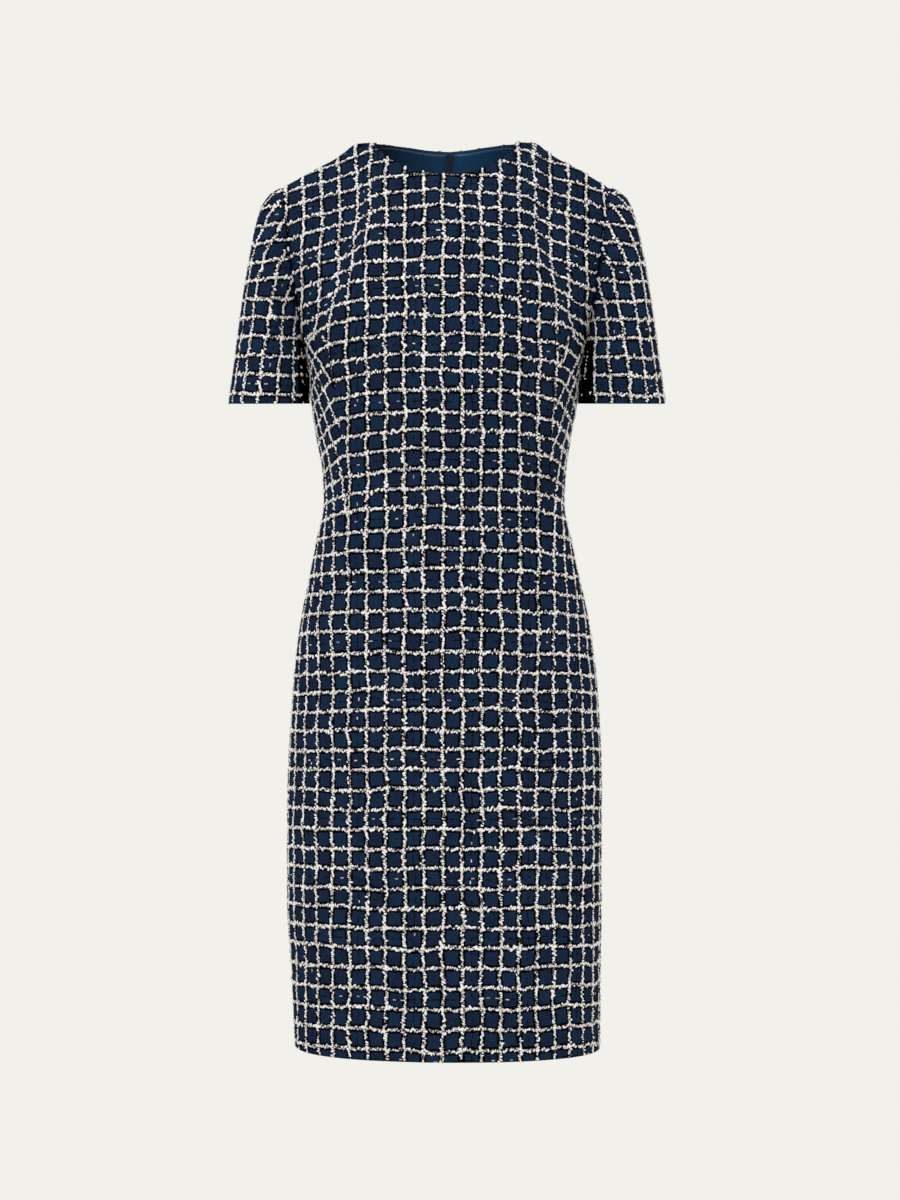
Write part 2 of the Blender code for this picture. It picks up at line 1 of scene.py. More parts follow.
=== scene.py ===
"""The looks of a sheath dress in windowpane boucle tweed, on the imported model.

Metres, +Z up. The front faces -Y, and the wearer's left arm is at +X. "Drop" is the distance below
the origin, which lies midway between the neck ends of the shoulder seams. Each panel is a fine grid
over the same form as its solid. Its weave map counts the check's lines: u across, v down.
"""

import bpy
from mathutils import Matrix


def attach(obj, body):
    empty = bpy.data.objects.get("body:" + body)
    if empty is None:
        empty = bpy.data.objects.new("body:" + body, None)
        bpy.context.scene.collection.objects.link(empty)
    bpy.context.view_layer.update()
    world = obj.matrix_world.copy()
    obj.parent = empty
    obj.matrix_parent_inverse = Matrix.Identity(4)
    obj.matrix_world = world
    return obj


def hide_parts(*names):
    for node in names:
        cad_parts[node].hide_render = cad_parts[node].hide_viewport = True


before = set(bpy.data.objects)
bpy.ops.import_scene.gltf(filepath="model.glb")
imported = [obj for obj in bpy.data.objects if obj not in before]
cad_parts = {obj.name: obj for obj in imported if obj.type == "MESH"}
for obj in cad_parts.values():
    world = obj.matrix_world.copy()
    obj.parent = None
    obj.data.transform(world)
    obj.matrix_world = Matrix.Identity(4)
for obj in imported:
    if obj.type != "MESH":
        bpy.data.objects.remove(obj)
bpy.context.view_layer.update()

import math
from collections import namedtuple

import bpy
import numpy as np
from mathutils import Vector

FRONT, BACK = -1, 1
BODY = "dress"
TINY = 1e-4
BISECTIONS = 40
AHEAD = 0.001  # how far to either side a path is read for its direction

# ---- The form, in the sizes of the solids ----

CLOTH = 0.002
HEM_DROP = 0.952
HEM_SIDE_LIFT = 0.0045
HEM_LOW_ACROSS = 0.15
HEM_LIFT_START = 0.80
BUST_DROP = 0.245
UNDERARM_RISE = 0.20
NECK_HALF_WIDTH = 0.0735
FRONT_NECK_DROP = 0.047
BACK_NECK_DROP = 0.0005
NECK_POWER = 1.9
NECK_ROUNDNESS = 0.55
FRONT_DOME = 0.010
BACK_DOME = 0.047
BACK_SEAM_SHIFT = 0.0045
BACK_SEAM_STRAIGHT_DROP = 0.40
SleeveHem = namedtuple("SleeveHem", "middle_x half_width")
SLEEVE_HEMS = {1: SleeveHem(0.1846, 0.0454), -1: SleeveHem(0.1860, 0.0420)}
SLEEVE_HEM_Y = -0.004
SLEEVE_HEM_DROP = 0.2750
SLEEVE_HEM_HALF_DEPTH = 0.0620
SLEEVE_HEM_ROUNDNESS = 2.1
SLEEVE_HEM_TILT = 0.104

Ring = namedtuple("Ring", "drop half_width sway front back roundness")
RINGS = (
    Ring(0.245, 0.1410, -0.0015, 0.1290, 0.1060, 2.25),
    Ring(0.275, 0.1390, -0.0018, 0.1275, 0.1020, 2.25),
    Ring(0.314, 0.1328, -0.0026, 0.1190, 0.0930, 2.20),
    Ring(0.350, 0.1272, -0.0018, 0.1085, 0.0855, 2.15),
    Ring(0.380, 0.1260, -0.0021, 0.1035, 0.0845, 2.15),
    Ring(0.419, 0.1332, -0.0021, 0.1050, 0.0910, 2.20),
    Ring(0.461, 0.1420, -0.0018, 0.1090, 0.1020, 2.25),
    Ring(0.524, 0.1538, -0.0010, 0.1125, 0.1150, 2.30),
    Ring(0.590, 0.1600, -0.0008, 0.1130, 0.1190, 2.35),
    Ring(0.692, 0.1638, -0.0015, 0.1110, 0.1155, 2.35),
    Ring(0.797, 0.1636, -0.0018, 0.1080, 0.1090, 2.30),
    Ring(0.881, 0.1607, 0.0000, 0.1060, 0.1050, 2.25),
    Ring(0.952, 0.1586, 0.0018, 0.1040, 0.1030, 2.20),
)
Chest = namedtuple("Chest", "rise half_width front_width back_width")
CHEST = (
    Chest(0.00, 0.1410, 0.1410, 0.1410),
    Chest(0.10, 0.1448, 0.1448, 0.1448),
    Chest(0.20, 0.1500, 0.1500, 0.1500),
    Chest(0.25, 0.1512, 0.1532, 0.1542),
    Chest(0.30, 0.1530, 0.1566, 0.1586),
    Chest(0.40, 0.1562, 0.1634, 0.1674),
    Chest(0.55, 0.1604, 0.1726, 0.1796),
    Chest(0.75, 0.1662, 0.1826, 0.1926),
    Chest(0.90, 0.1696, 0.1878, 0.1992),
    Chest(1.00, 0.1715, 0.1900, 0.2020),
)
Shoulder = namedtuple("Shoulder", "reach drop")
SHOULDER = (
    Shoulder(0.0000, 0.0000),
    Shoulder(0.0735, 0.0000),
    Shoulder(0.0945, 0.0012),
    Shoulder(0.1050, 0.0088),
    Shoulder(0.1170, 0.0170),
    Shoulder(0.1350, 0.0260),
    Shoulder(0.1500, 0.0346),
    Shoulder(0.1715, 0.0464),
    Shoulder(0.2000, 0.0620),
)
SleeveStart = namedtuple("SleeveStart", "turn out forward down reach lean settle")
SLEEVE_START = (
    SleeveStart(0.00, -0.10, 0.00, 1.00, 0.014, 0.00, 0.034),
    SleeveStart(0.08, 0.30, 0.30, 0.90, 0.020, 0.01, 0.040),
    SleeveStart(0.22, 0.72, 0.40, 0.57, 0.042, 0.08, 0.085),
    SleeveStart(0.38, 0.87, 0.18, 0.42, 0.036, 0.12, 0.155),
    SleeveStart(0.50, 0.95, 0.00, 0.31, 0.030, 0.13, 0.200),
)

# ---- Creases: soft troughs (depth above 0) and ridges (below 0), each along a bent line ----

Crease = namedtuple("Crease", "start_x start_drop bend_x bend_drop end_x end_drop depth width")
FRONT_CREASES = (
    Crease(0.0900, 0.050, 0.098, 0.130, 0.143, 0.216, 0.0062, 0.0105),
    Crease(-0.0800, 0.058, -0.090, 0.130, -0.140, 0.216, 0.0056, 0.0105),
    Crease(0.1060, 0.075, 0.116, 0.140, 0.150, 0.200, -0.0022, 0.0100),
    Crease(-0.0980, 0.080, -0.110, 0.140, -0.148, 0.200, -0.0020, 0.0100),
    Crease(0.0740, 0.070, 0.078, 0.150, 0.118, 0.250, -0.0016, 0.0120),
    Crease(-0.0620, 0.080, -0.070, 0.150, -0.112, 0.250, -0.0016, 0.0120),
    Crease(-0.1240, 0.236, -0.118, 0.262, -0.092, 0.282, 0.0012, 0.0070),
    Crease(0.1220, 0.236, 0.116, 0.258, 0.090, 0.276, 0.0012, 0.0070),
    Crease(-0.1290, 0.262, -0.126, 0.290, -0.112, 0.312, 0.0014, 0.0060),
    Crease(0.1280, 0.262, 0.124, 0.288, 0.111, 0.306, 0.0014, 0.0060),
    Crease(-0.1160, 0.352, -0.060, 0.366, 0.010, 0.362, 0.0010, 0.0100),
    Crease(0.1180, 0.392, 0.066, 0.408, 0.006, 0.402, 0.0010, 0.0110),
    Crease(0.1500, 0.520, 0.118, 0.560, 0.060, 0.590, 0.0010, 0.0140),
    Crease(-0.1480, 0.545, -0.104, 0.590, -0.050, 0.612, 0.0010, 0.0150),
    Crease(-0.0820, 0.660, -0.088, 0.790, -0.098, 0.930, 0.0014, 0.0220),
    Crease(0.0900, 0.640, 0.094, 0.790, 0.086, 0.940, 0.0013, 0.0240),
)
BACK_CREASES = (
    Crease(0.0820, 0.060, 0.096, 0.130, 0.140, 0.214, 0.0040, 0.0110),
    Crease(-0.0860, 0.062, -0.098, 0.135, -0.141, 0.212, 0.0038, 0.0110),
    Crease(0.1000, 0.085, 0.112, 0.145, 0.147, 0.198, -0.0016, 0.0100),
    Crease(-0.1020, 0.085, -0.114, 0.145, -0.147, 0.198, -0.0016, 0.0100),
    Crease(0.0180, 0.330, 0.064, 0.346, 0.112, 0.338, 0.0016, 0.0090),
    Crease(-0.1120, 0.356, -0.060, 0.372, -0.012, 0.360, 0.0016, 0.0095),
    Crease(0.0220, 0.392, 0.062, 0.402, 0.118, 0.388, 0.0014, 0.0095),
    Crease(-0.0980, 0.304, -0.060, 0.318, -0.030, 0.314, 0.0010, 0.0090),
    Crease(0.0860, 0.640, 0.080, 0.780, 0.092, 0.930, 0.0014, 0.0230),
    Crease(-0.0760, 0.650, -0.086, 0.790, -0.080, 0.940, 0.0013, 0.0220),
)
CREASE_STEPS = 24
CREASE_END_POWER = 0.6
CREASE_EDGE_POWER = 8  # the creases die out at the seams

# Sums of waves, each with its size, its counts to a metre (times 2 pi) and its shift
Wave = namedtuple("Wave", "size across down shift")
WRINKLE = 0.00035
WRINKLE_WAVES = (
    Wave(1.0, 41, 17, 1.0),
    Wave(1.0, -29, 33, 2.1),
    Wave(0.7, 83, -21, 0.7),
    Wave(0.6, 57, 71, 1.3),
)
WANDER = 0.036  # how far the check's lines stray, in cells
COLUMN_WAVES = (
    Wave(1.0, 21, 64, 1.0),
    Wave(0.8, -46, 117, 2.3),
    Wave(0.6, 139, 23, 0.7),
    Wave(0.5, 87, 231, 1.9),
)
ROW_WAVES = (
    Wave(1.1, 57, 18, 1.4),
    Wave(0.8, 109, -41, 0.4),
    Wave(0.6, 31, 136, 2.9),
    Wave(0.5, 226, 93, 1.1),
)

# ---- The check ----

PITCH_ACROSS = 0.01945
ROW_PITCH = 0.0201
CENTRE_LINE_X = -0.0029
SIDE_X = 0.15
FOLD_REACH = 0.012  # how far inside the drag fold the check starts to change
FOLD_SPREAD = 0.028
FLAT_FADE = 0.008

# Where the check's rows cross the centre front
CheckRow = namedtuple("CheckRow", "drop row")
CHECK_ROWS = (
    CheckRow(0.0000, -15.55),
    CheckRow(0.0465, -13.00),
    CheckRow(0.0655, -12.00),
    CheckRow(0.1008, -10.00),
    CheckRow(0.2171, -4.00),
    CheckRow(0.2374, -3.00),
    CheckRow(0.2539, -2.00),
    CheckRow(0.2740, -1.00),
    CheckRow(0.2956, 0.00),
    CheckRow(0.3324, 2.00),
    CheckRow(0.3536, 3.00),
    CheckRow(0.3908, 5.00),
    CheckRow(0.4127, 6.00),
    CheckRow(0.4542, 8.00),
    CheckRow(0.4757, 9.00),
    CheckRow(0.5158, 11.00),
    CheckRow(0.5385, 12.00),
    CheckRow(0.5768, 14.00),
    CheckRow(0.6971, 20.00),
    CheckRow(0.8781, 29.00),
    CheckRow(0.9407, 32.00),
    CheckRow(0.9700, 33.45),
)

# How the front's check departs from straight rows and columns, by height. Droop is how far a row
# has fallen at the side, jog how far it falls across the drag fold, gather how many columns the
# fold takes up, and flat the half width over which columns keep their spacing seen from the front.
CheckBend = namedtuple("CheckBend", "drop droop jog gather_right gather_left flat")
CHECK_BENDS = (
    CheckBend(0.000, 0.0180, 0.0060, 0.20, 0.25, 0.180),
    CheckBend(0.080, 0.0160, 0.0090, 0.38, 0.55, 0.180),
    CheckBend(0.180, 0.0120, 0.0100, 0.38, 0.50, 0.170),
    CheckBend(0.225, 0.0090, 0.0050, 0.15, 0.20, 0.140),
    CheckBend(0.260, 0.0080, 0.0000, 0.00, 0.00, 0.120),
    CheckBend(0.345, 0.0070, 0.0000, 0.00, 0.00, 0.104),
    CheckBend(0.500, 0.0050, 0.0000, 0.00, 0.00, 0.102),
    CheckBend(0.620, 0.0015, 0.0000, 0.00, 0.00, 0.000),
    CheckBend(0.970, 0.0000, 0.0000, 0.00, 0.00, 0.000),
)

# The long shaping darts of the front.
Dart = namedtuple("Dart", "drop right_x left_x slope")
DARTS = (
    Dart(0.200, 0.1105, -0.1265, 0.40),
    Dart(0.220, 0.1135, -0.1226, 0.42),
    Dart(0.240, 0.1166, -0.1182, 0.42),
    Dart(0.256, 0.1164, -0.1174, 0.42),
    Dart(0.270, 0.1124, -0.1134, 0.42),
    Dart(0.290, 0.1118, -0.1122, 0.40),
    Dart(0.310, 0.1092, -0.1086, 0.36),
    Dart(0.330, 0.1080, -0.1040, 0.30),
    Dart(0.377, 0.1060, -0.1022, 0.16),
    Dart(0.445, 0.1040, -0.1015, 0.00),
)
DART_TOP = 0.212
DART_STEPS = 60

# Where the wandering of lines and wrinkles starts, so that no two panels are alike
SEED = 11
FRONT_SALT, BACK_SALT, SLEEVE_SALT = 0.9, 6.0, 3.0
FRONT_WRINKLE_SALT, BACK_WRINKLE_SALT = 0.4, 2.0
BACK_PHASES = {1: 0.30, -1: -0.42}


def read_table(rows, column, at):
    """A smooth reading of one column of a table, by a cubic that never overshoots its rows."""
    xs = np.array([row[0] for row in rows])
    ys = np.array([getattr(row, column) for row in rows])
    at = np.clip(np.asarray(at, float), xs[0], xs[-1])
    k = np.clip(np.searchsorted(xs, at, side="right") - 1, 0, len(xs) - 2)
    widths = np.diff(xs)
    slopes = np.diff(ys) / widths
    before, after = slopes[:-1], slopes[1:]
    both = before * after
    with np.errstate(divide="ignore", invalid="ignore"):
        inner = np.where(both > 0, 2 * both / (before + after), 0.0)
    tangents = np.concatenate([slopes[:1], inner, slopes[-1:]])
    width = widths[k]
    t = (at - xs[k]) / width
    return (
        (1 + 2 * t) * (1 - t) ** 2 * ys[k]
        + t * (1 - t) ** 2 * width * tangents[k]
        + t * t * (3 - 2 * t) * ys[k + 1]
        + t * t * (t - 1) * width * tangents[k + 1]
    )


def power(value, exponent):
    return np.copysign(np.abs(value) ** exponent, value)


def smooth(t):
    t = np.clip(t, 0.0, 1.0)
    return t * t * (3 - 2 * t)


def form_at(side, height):
    """Half width, depth, sway, roundness and edge angle at a height, as in the solids."""
    column = "front" if side == FRONT else "back"
    drop = BUST_DROP - np.minimum(height, 0.0)
    rise = np.minimum(np.sin(np.maximum(height, 0.0)), 1.0)
    upper = height > 0
    bust = RINGS[0]
    edge_x = read_table(CHEST, "half_width", rise)
    full = np.where(rise > UNDERARM_RISE, read_table(CHEST, column + "_width", rise), edge_x)
    angle = np.arcsin(np.minimum(1.0, edge_x / full) ** (bust.roundness / 2))
    return (
        np.where(upper, full, read_table(RINGS, "half_width", drop)),
        np.where(upper, getattr(bust, column), read_table(RINGS, column, drop)),
        np.where(upper, bust.sway * (1 - rise), read_table(RINGS, "sway", drop)),
        np.where(upper, bust.roundness, read_table(RINGS, "roundness", drop)),
        np.where(upper, angle, math.pi / 2),
    )


def shoulder_height(side, x):
    dome = FRONT_DOME if side == FRONT else BACK_DOME
    inside = np.maximum(0.0, 1 - (x / NECK_HALF_WIDTH) ** 2)
    return dome * inside**2 - read_table(SHOULDER, "drop", np.abs(x))


def neck_height(side, x):
    drop = FRONT_NECK_DROP if side == FRONT else BACK_NECK_DROP
    inside = np.clip(1 - np.abs(x / NECK_HALF_WIDTH) ** NECK_POWER, 0.0, 1.0)
    scoop = -drop * inside**NECK_ROUNDNESS
    return np.where(np.abs(x) >= NECK_HALF_WIDTH, shoulder_height(side, x), scoop)


def form_point(side, across, height):
    """Points of the outer surface without creases. Across runs from -1 to 1, edge to edge."""
    across, height = np.broadcast_arrays(np.asarray(across, float), np.asarray(height, float))
    width, depth, sway, roundness, edge = form_at(side, height)
    angle = across * edge
    x = sway + width * power(np.sin(angle), 2 / roundness)
    y = side * depth * power(np.cos(angle), 2 / roundness)
    lean = np.maximum(height, 0.0)
    fade = np.maximum(0.0, (BUST_DROP - height - HEM_LIFT_START) / (HEM_DROP - HEM_LIFT_START))
    lift = HEM_SIDE_LIFT * (across - HEM_LOW_ACROSS) ** 2 * fade**2
    z = np.where(
        height > 0,
        -BUST_DROP + (shoulder_height(side, x) + BUST_DROP) * np.sin(lean),
        height - BUST_DROP + lift,
    )
    return np.stack([x, y * np.cos(lean), z], axis=-1)


def unit(vectors):
    return vectors / np.maximum(np.linalg.norm(vectors, axis=-1, keepdims=True), 1e-12)


def read_path(places, lengths, values):
    """Points or directions of a path at places along it."""
    return np.stack([np.interp(places, lengths, values[:, k]) for k in range(3)], axis=-1)


def form_normal(side, across, height):
    """Unit outward directions of the form."""
    along = form_point(side, across + TINY, height) - form_point(side, across - TINY, height)
    up = form_point(side, across, height + TINY) - form_point(side, across, height - TINY)
    return unit(np.cross(along, up)) * -side


def across_at(side, x, height):
    """The across value at which the form has this x."""
    width, _, sway, roundness, edge = form_at(side, height)
    ratio = np.clip((x - sway) / width, -1, 1)
    return np.copysign(np.arcsin(np.abs(ratio) ** (roundness / 2)), ratio) / edge


def top_height(side, across):
    """The height value at which columns meet the neck edge or the shoulder seam."""
    across = np.asarray(across, float)
    low = np.full(across.shape, math.asin(UNDERARM_RISE))
    high = np.full(across.shape, math.pi / 2)
    past_neck = np.abs(form_point(side, across, high)[..., 0]) >= NECK_HALF_WIDTH - 1e-5
    for _ in range(BISECTIONS):
        middle = (low + high) / 2
        points = form_point(side, across, middle)
        below = points[..., 2] < neck_height(side, points[..., 0])
        low, high = np.where(below, middle, low), np.where(below, high, middle)
    return np.where(past_neck, math.pi / 2, low)


def crease_depth(creases, x, drop):
    """How deep a panel's creases are at each place, in metres."""
    sunk = np.zeros(np.shape(x))
    for crease in creases:
        nearest = np.zeros(np.shape(x))
        for k in range(CREASE_STEPS + 1):
            t = k / CREASE_STEPS
            start, bend, end = (1 - t) ** 2, 2 * t * (1 - t), t * t
            cx = start * crease.start_x + bend * crease.bend_x + end * crease.end_x
            cd = start * crease.start_drop + bend * crease.bend_drop + end * crease.end_drop
            strength = math.sin(math.pi * t) ** CREASE_END_POWER
            near = strength * np.exp(-((x - cx) ** 2 + (drop - cd) ** 2) / crease.width**2)
            nearest = np.maximum(nearest, near)
        sunk += crease.depth * nearest
    return sunk


def waves(rows, x, z, salt):
    return sum(
        row.size * np.sin(row.across * x + row.down * z + row.shift * salt) for row in rows
    )


def wrinkle(x, drop, salt):
    """Faint unevenness of hanging cloth, in metres."""
    return WRINKLE * waves(WRINKLE_WAVES, x, drop, salt)


# ---- Grids ----

SKIRT_ROWS = 142
UNDERARM_ROWS = 10
CHEST_ROWS = 46
NECK_COLUMNS = 16
SIDE_COLUMNS = 26
CHEST_ROW_POWER = 1.12  # above 1, the chest's rows crowd a little at the underarm
SEAM_STEPS = (0.15, 0.4, 0.7)  # where extra columns lie at a seam, in columns
SEAM_SINK = 0.0011
SEAM_WIDTH = 0.0034
DART_SINK = 0.0016
DART_WIDTH = 0.0032
DART_TOP_FADE = 0.02
DART_END_DROP = 0.40
DART_END_FADE = 0.05
SLEEVE_TOUCH_TOP, SLEEVE_TOUCH_TOP_FADE = 0.195, 0.010
SLEEVE_TOUCH_END, SLEEVE_TOUCH_END_FADE = 0.275, 0.025


def crowded(start, end, count, at_start, at_end):
    """Even steps with extra ones close to the named ends."""
    steps = list(np.linspace(start, end, count + 1))
    step = (end - start) / count
    if at_start:
        steps = steps[:1] + [start + step * s for s in SEAM_STEPS] + steps[1:]
    if at_end:
        steps = steps[:-1] + [end - step * s for s in reversed(SEAM_STEPS)] + steps[-1:]
    return np.array(steps)


def panel_heights(side, across_top):
    """Heights, a row for each step up and a column for each across value."""
    underarm = math.asin(UNDERARM_RISE)
    top = top_height(side, across_top)
    skirt = crowded(BUST_DROP - HEM_DROP, 0.0, SKIRT_ROWS, True, False)
    bust = np.linspace(0.0, underarm, UNDERARM_ROWS + 1)[1:]
    lower = np.concatenate([skirt, bust])
    share = crowded(0.0, 1.0, CHEST_ROWS, False, True)[1:]
    share = share**CHEST_ROW_POWER
    chest = underarm + (top[None, :] - underarm) * share[:, None]
    return np.concatenate([np.repeat(lower[:, None], len(across_top), axis=1), chest])


def half_columns(side, seam_at_centre):
    """Across values from the centre to the side, one of them at the neck's corner."""
    corner = float(across_at(side, NECK_HALF_WIDTH, math.pi / 2))
    inner = crowded(0.0, corner, NECK_COLUMNS, seam_at_centre, False)
    outer = crowded(corner, 1.0, SIDE_COLUMNS, False, True)
    return np.concatenate([inner, outer[1:]])


def back_seam_x(drop):
    """Where the centre-back seam runs."""
    fade = np.maximum(0.0, 1 - drop / BACK_SEAM_STRAIGHT_DROP)
    return BACK_SEAM_SHIFT * fade * fade * (3 - 2 * fade)


def edge_distance(points, axis, end):
    """Distances along the cloth from one edge of a grid."""
    steps = np.linalg.norm(np.diff(points, axis=axis), axis=-1)
    zero = np.zeros_like(np.take(steps, [0], axis=axis))
    if end == 0:
        return np.concatenate([zero, np.cumsum(steps, axis=axis)], axis=axis)
    flipped = np.flip(np.cumsum(np.flip(steps, axis=axis), axis=axis), axis=axis)
    return np.concatenate([flipped, zero], axis=axis)


def beside_sleeve(drop):
    """Falls to 0 where the side seam lies against the sleeve, so that the two stay close."""
    start = smooth((drop - SLEEVE_TOUCH_TOP) / SLEEVE_TOUCH_TOP_FADE)
    end = 1 - smooth((drop - SLEEVE_TOUCH_END) / SLEEVE_TOUCH_END_FADE)
    return 1 - start * end


def sink_edges(points, normals, edges, depth=SEAM_SINK, width=SEAM_WIDTH):
    """Rolls the cloth in towards its seams."""
    sunk = np.zeros(points.shape[:2])
    for axis, end in edges:
        sunk = np.maximum(sunk, np.exp(-((edge_distance(points, axis, end) / width) ** 2)))
    return points - normals * (sunk * depth)[..., None]


def grid_normals(points, outward):
    """Unit normals of a grid of points, turned the way outward points."""
    along = np.gradient(points, axis=1)
    up = np.gradient(points, axis=0)
    normals = unit(np.cross(along, up))
    turned = np.sign(np.sum(normals * outward, axis=-1, keepdims=True))
    return normals * np.where(turned == 0, 1, turned)


# A cloth's other check, if it has one, holds in the region that a function of points gives.
Other = namedtuple("Other", "region u v")
Cloth = namedtuple("Cloth", "points normals u v other", defaults=[None])


def fold_x(drop, direction):
    """Where the front's drag fold runs, for jogs of the check."""
    crease = FRONT_CREASES[0 if direction > 0 else 1]
    t = np.clip((drop - crease.start_drop) / (crease.end_drop - crease.start_drop), 0, 1)
    return (1 - t) ** 2 * crease.start_x + 2 * t * (1 - t) * crease.bend_x + t * t * crease.end_x


def wander(points, u, v, salt):
    """The check's lines stray a little from their even places, as in loosely woven cloth."""
    x, z = points[..., 0] + 0.7 * points[..., 1], points[..., 2]
    u = u + WANDER * waves(COLUMN_WAVES, x, z, salt)
    v = v + WANDER * waves(ROW_WAVES, x, z, salt)
    return u, v


def front_check(points):
    """The front's check, with drooping rows and gathered columns, and the one outside its darts."""
    x, drop = points[..., 0], -points[..., 2]
    right = x > 0
    outside = np.where(right, x - fold_x(drop, 1), fold_x(drop, -1) - x)
    across_fold = smooth((outside + FOLD_REACH) / FOLD_SPREAD)
    jog = read_table(CHECK_BENDS, "jog", drop) * across_fold
    droop = read_table(CHECK_BENDS, "droop", drop) * (np.abs(x) / SIDE_X) ** 2
    v = read_table(CHECK_ROWS, "row", drop - droop - jog)

    step_x = np.diff(x, axis=1)
    step_s = np.linalg.norm(np.diff(points, axis=1)[..., :2], axis=-1)
    middle_x = (x[:, 1:] + x[:, :-1]) / 2
    middle_drop = (drop[:, 1:] + drop[:, :-1]) / 2
    flat = read_table(CHECK_BENDS, "flat", middle_drop)
    keep = smooth((flat - np.abs(middle_x)) / FLAT_FADE + 0.5) * (flat > 0)
    steps = step_x * keep + step_s * (1 - keep)
    middle = x.shape[1] // 2
    summed = np.concatenate([np.zeros((len(x), 1)), np.cumsum(steps, axis=1)], axis=1)
    summed = summed - summed[:, middle : middle + 1] + x[:, middle : middle + 1]
    gather = np.where(
        right,
        read_table(CHECK_BENDS, "gather_right", drop),
        -read_table(CHECK_BENDS, "gather_left", drop),
    )
    u = (summed - CENTRE_LINE_X) / PITCH_ACROSS + gather * across_fold

    # The same check outside the darts, where it is turned
    out = np.abs(summed) - dart_x(x, drop)
    slope = read_table(DARTS, "slope", drop)
    drops = np.linspace(DARTS[-1].drop, DARTS[0].drop, DART_STEPS)
    slopes = read_table(DARTS, "slope", drops)
    slid = np.concatenate([[0], np.cumsum((slopes[1:] + slopes[:-1]) / 2 * -np.diff(drops))])
    shift = np.interp(drop, drops[::-1], slid[::-1])
    direction = np.sign(x)
    end_x = np.where(right, DARTS[-1].right_x, DARTS[-1].left_x)
    turned_u = (end_x - CENTRE_LINE_X + direction * (out - shift)) / PITCH_ACROSS
    turned_v = v - out * slope / ROW_PITCH
    return u, v, turned_u, turned_v


def dart_x(x, drop):
    """How far a dart lies from the centre plane, on the side that x is on."""
    return np.where(x > 0, read_table(DARTS, "right_x", drop), -read_table(DARTS, "left_x", drop))


def outside_darts(points):
    """Where the turned check holds."""
    x, drop = points[..., 0], -points[..., 2]
    return (np.abs(x) > dart_x(x, drop)) & (drop > DART_TOP) & (drop < DARTS[-1].drop)


def plain_check(points, centre_column, phase):
    """Straight rows and columns, counted along the cloth from one column of the grid."""
    x, drop = points[..., 0], -points[..., 2]
    steps = np.linalg.norm(np.diff(points, axis=1)[..., :2], axis=-1)
    summed = np.concatenate([np.zeros((len(x), 1)), np.cumsum(steps, axis=1)], axis=1)
    if centre_column < 0:
        summed = summed - summed[:, -1:]
    droop = read_table(CHECK_BENDS, "droop", drop) * (np.abs(x) / SIDE_X) ** 2
    v = read_table(CHECK_ROWS, "row", drop - droop)
    return summed / PITCH_ACROSS + phase, v


def front_cloth():
    """The front's grid, from the right side seam to the left one."""
    half = half_columns(FRONT, False)
    across = np.concatenate([-half[:0:-1], half])
    heights = panel_heights(FRONT, across)
    across = np.repeat(across[None, :], len(heights), axis=0)
    points = form_point(FRONT, across, heights)
    outward = form_normal(FRONT, across, heights)
    x, drop = points[..., 0], -points[..., 2]
    u, v, turned_u, turned_v = front_check(points)
    u, v = wander(points, u, v, FRONT_SALT)
    fade = 1 - np.abs(across) ** CREASE_EDGE_POWER
    sunk = (crease_depth(FRONT_CREASES, x, drop) + wrinkle(x, drop, FRONT_WRINKLE_SALT)) * fade
    points = points - outward * sunk[..., None]
    points = sink_edges(points, outward, ((1, 0), (1, 1)), SEAM_SINK * beside_sleeve(drop))
    line = np.exp(-(((np.abs(x) - dart_x(x, drop)) / DART_WIDTH) ** 2))
    start = smooth((drop - DART_TOP) / DART_TOP_FADE)
    line *= start * (1 - smooth((drop - DART_END_DROP) / DART_END_FADE))
    points = points - outward * (DART_SINK * line)[..., None]
    turned = Other(outside_darts, turned_u, turned_v)
    return Cloth(points, grid_normals(points, outward), u, v, turned)


NeckLift = namedtuple("NeckLift", "reach lift")
NECK_LIFTS = (
    NeckLift(0.00, 0.0028),
    NeckLift(0.02, 0.0034),
    NeckLift(0.04, 0.0042),
    NeckLift(0.06, 0.0030),
    NeckLift(NECK_HALF_WIDTH, 0.0),
)
NECK_LIFT_DROP = 0.035
NECK_LIFT_FADE = 0.03
SEAM_CALM = 0.010  # the back's creases die out this near its centre seam


def lift_neck(points):
    """Raises the back neck edge a little, where the photo shows it higher than the solid's."""
    lift = np.interp(np.abs(points[..., 0]), *zip(*NECK_LIFTS))
    raised = points.copy()
    raised[..., 2] += lift * smooth((points[..., 2] + NECK_LIFT_DROP) / NECK_LIFT_FADE)
    return raised


def back_sunk(across, x, drop):
    """How deep the creases of the back are, in metres."""
    fade = 1 - np.abs(across) ** CREASE_EDGE_POWER
    fade = fade * smooth(np.abs(x - back_seam_x(drop)) / SEAM_CALM)
    return (crease_depth(BACK_CREASES, x, drop) + wrinkle(x, drop, BACK_WRINKLE_SALT)) * fade


def back_cloth(direction):
    """One half of the back, at the wearer's left (1) or right (-1)."""
    half = half_columns(BACK, True)
    top_seam = float(across_at(BACK, back_seam_x(0.0), math.pi / 2))
    top = half * direction + top_seam * (1 - half)
    heights = panel_heights(BACK, top)
    drop = -form_point(BACK, 0.0, heights)[..., 2]
    seam = across_at(BACK, back_seam_x(drop), heights)
    across = half[None, :] * direction + seam * (1 - half[None, :])
    if direction < 0:
        across, heights = across[:, ::-1], heights[:, ::-1]
    points = form_point(BACK, across, heights)
    outward = form_normal(BACK, across, heights)
    x, drop = points[..., 0], -points[..., 2]
    u, v = plain_check(points, direction, BACK_PHASES[direction])
    u, v = wander(points, u, v, BACK_SALT + direction)
    points = points - outward * back_sunk(across, x, drop)[..., None]
    points = sink_edges(points, outward, ((1, 0), (1, 1)), SEAM_SINK * beside_sleeve(drop))
    points = lift_neck(points)
    return Cloth(points, grid_normals(points, outward), u, v)


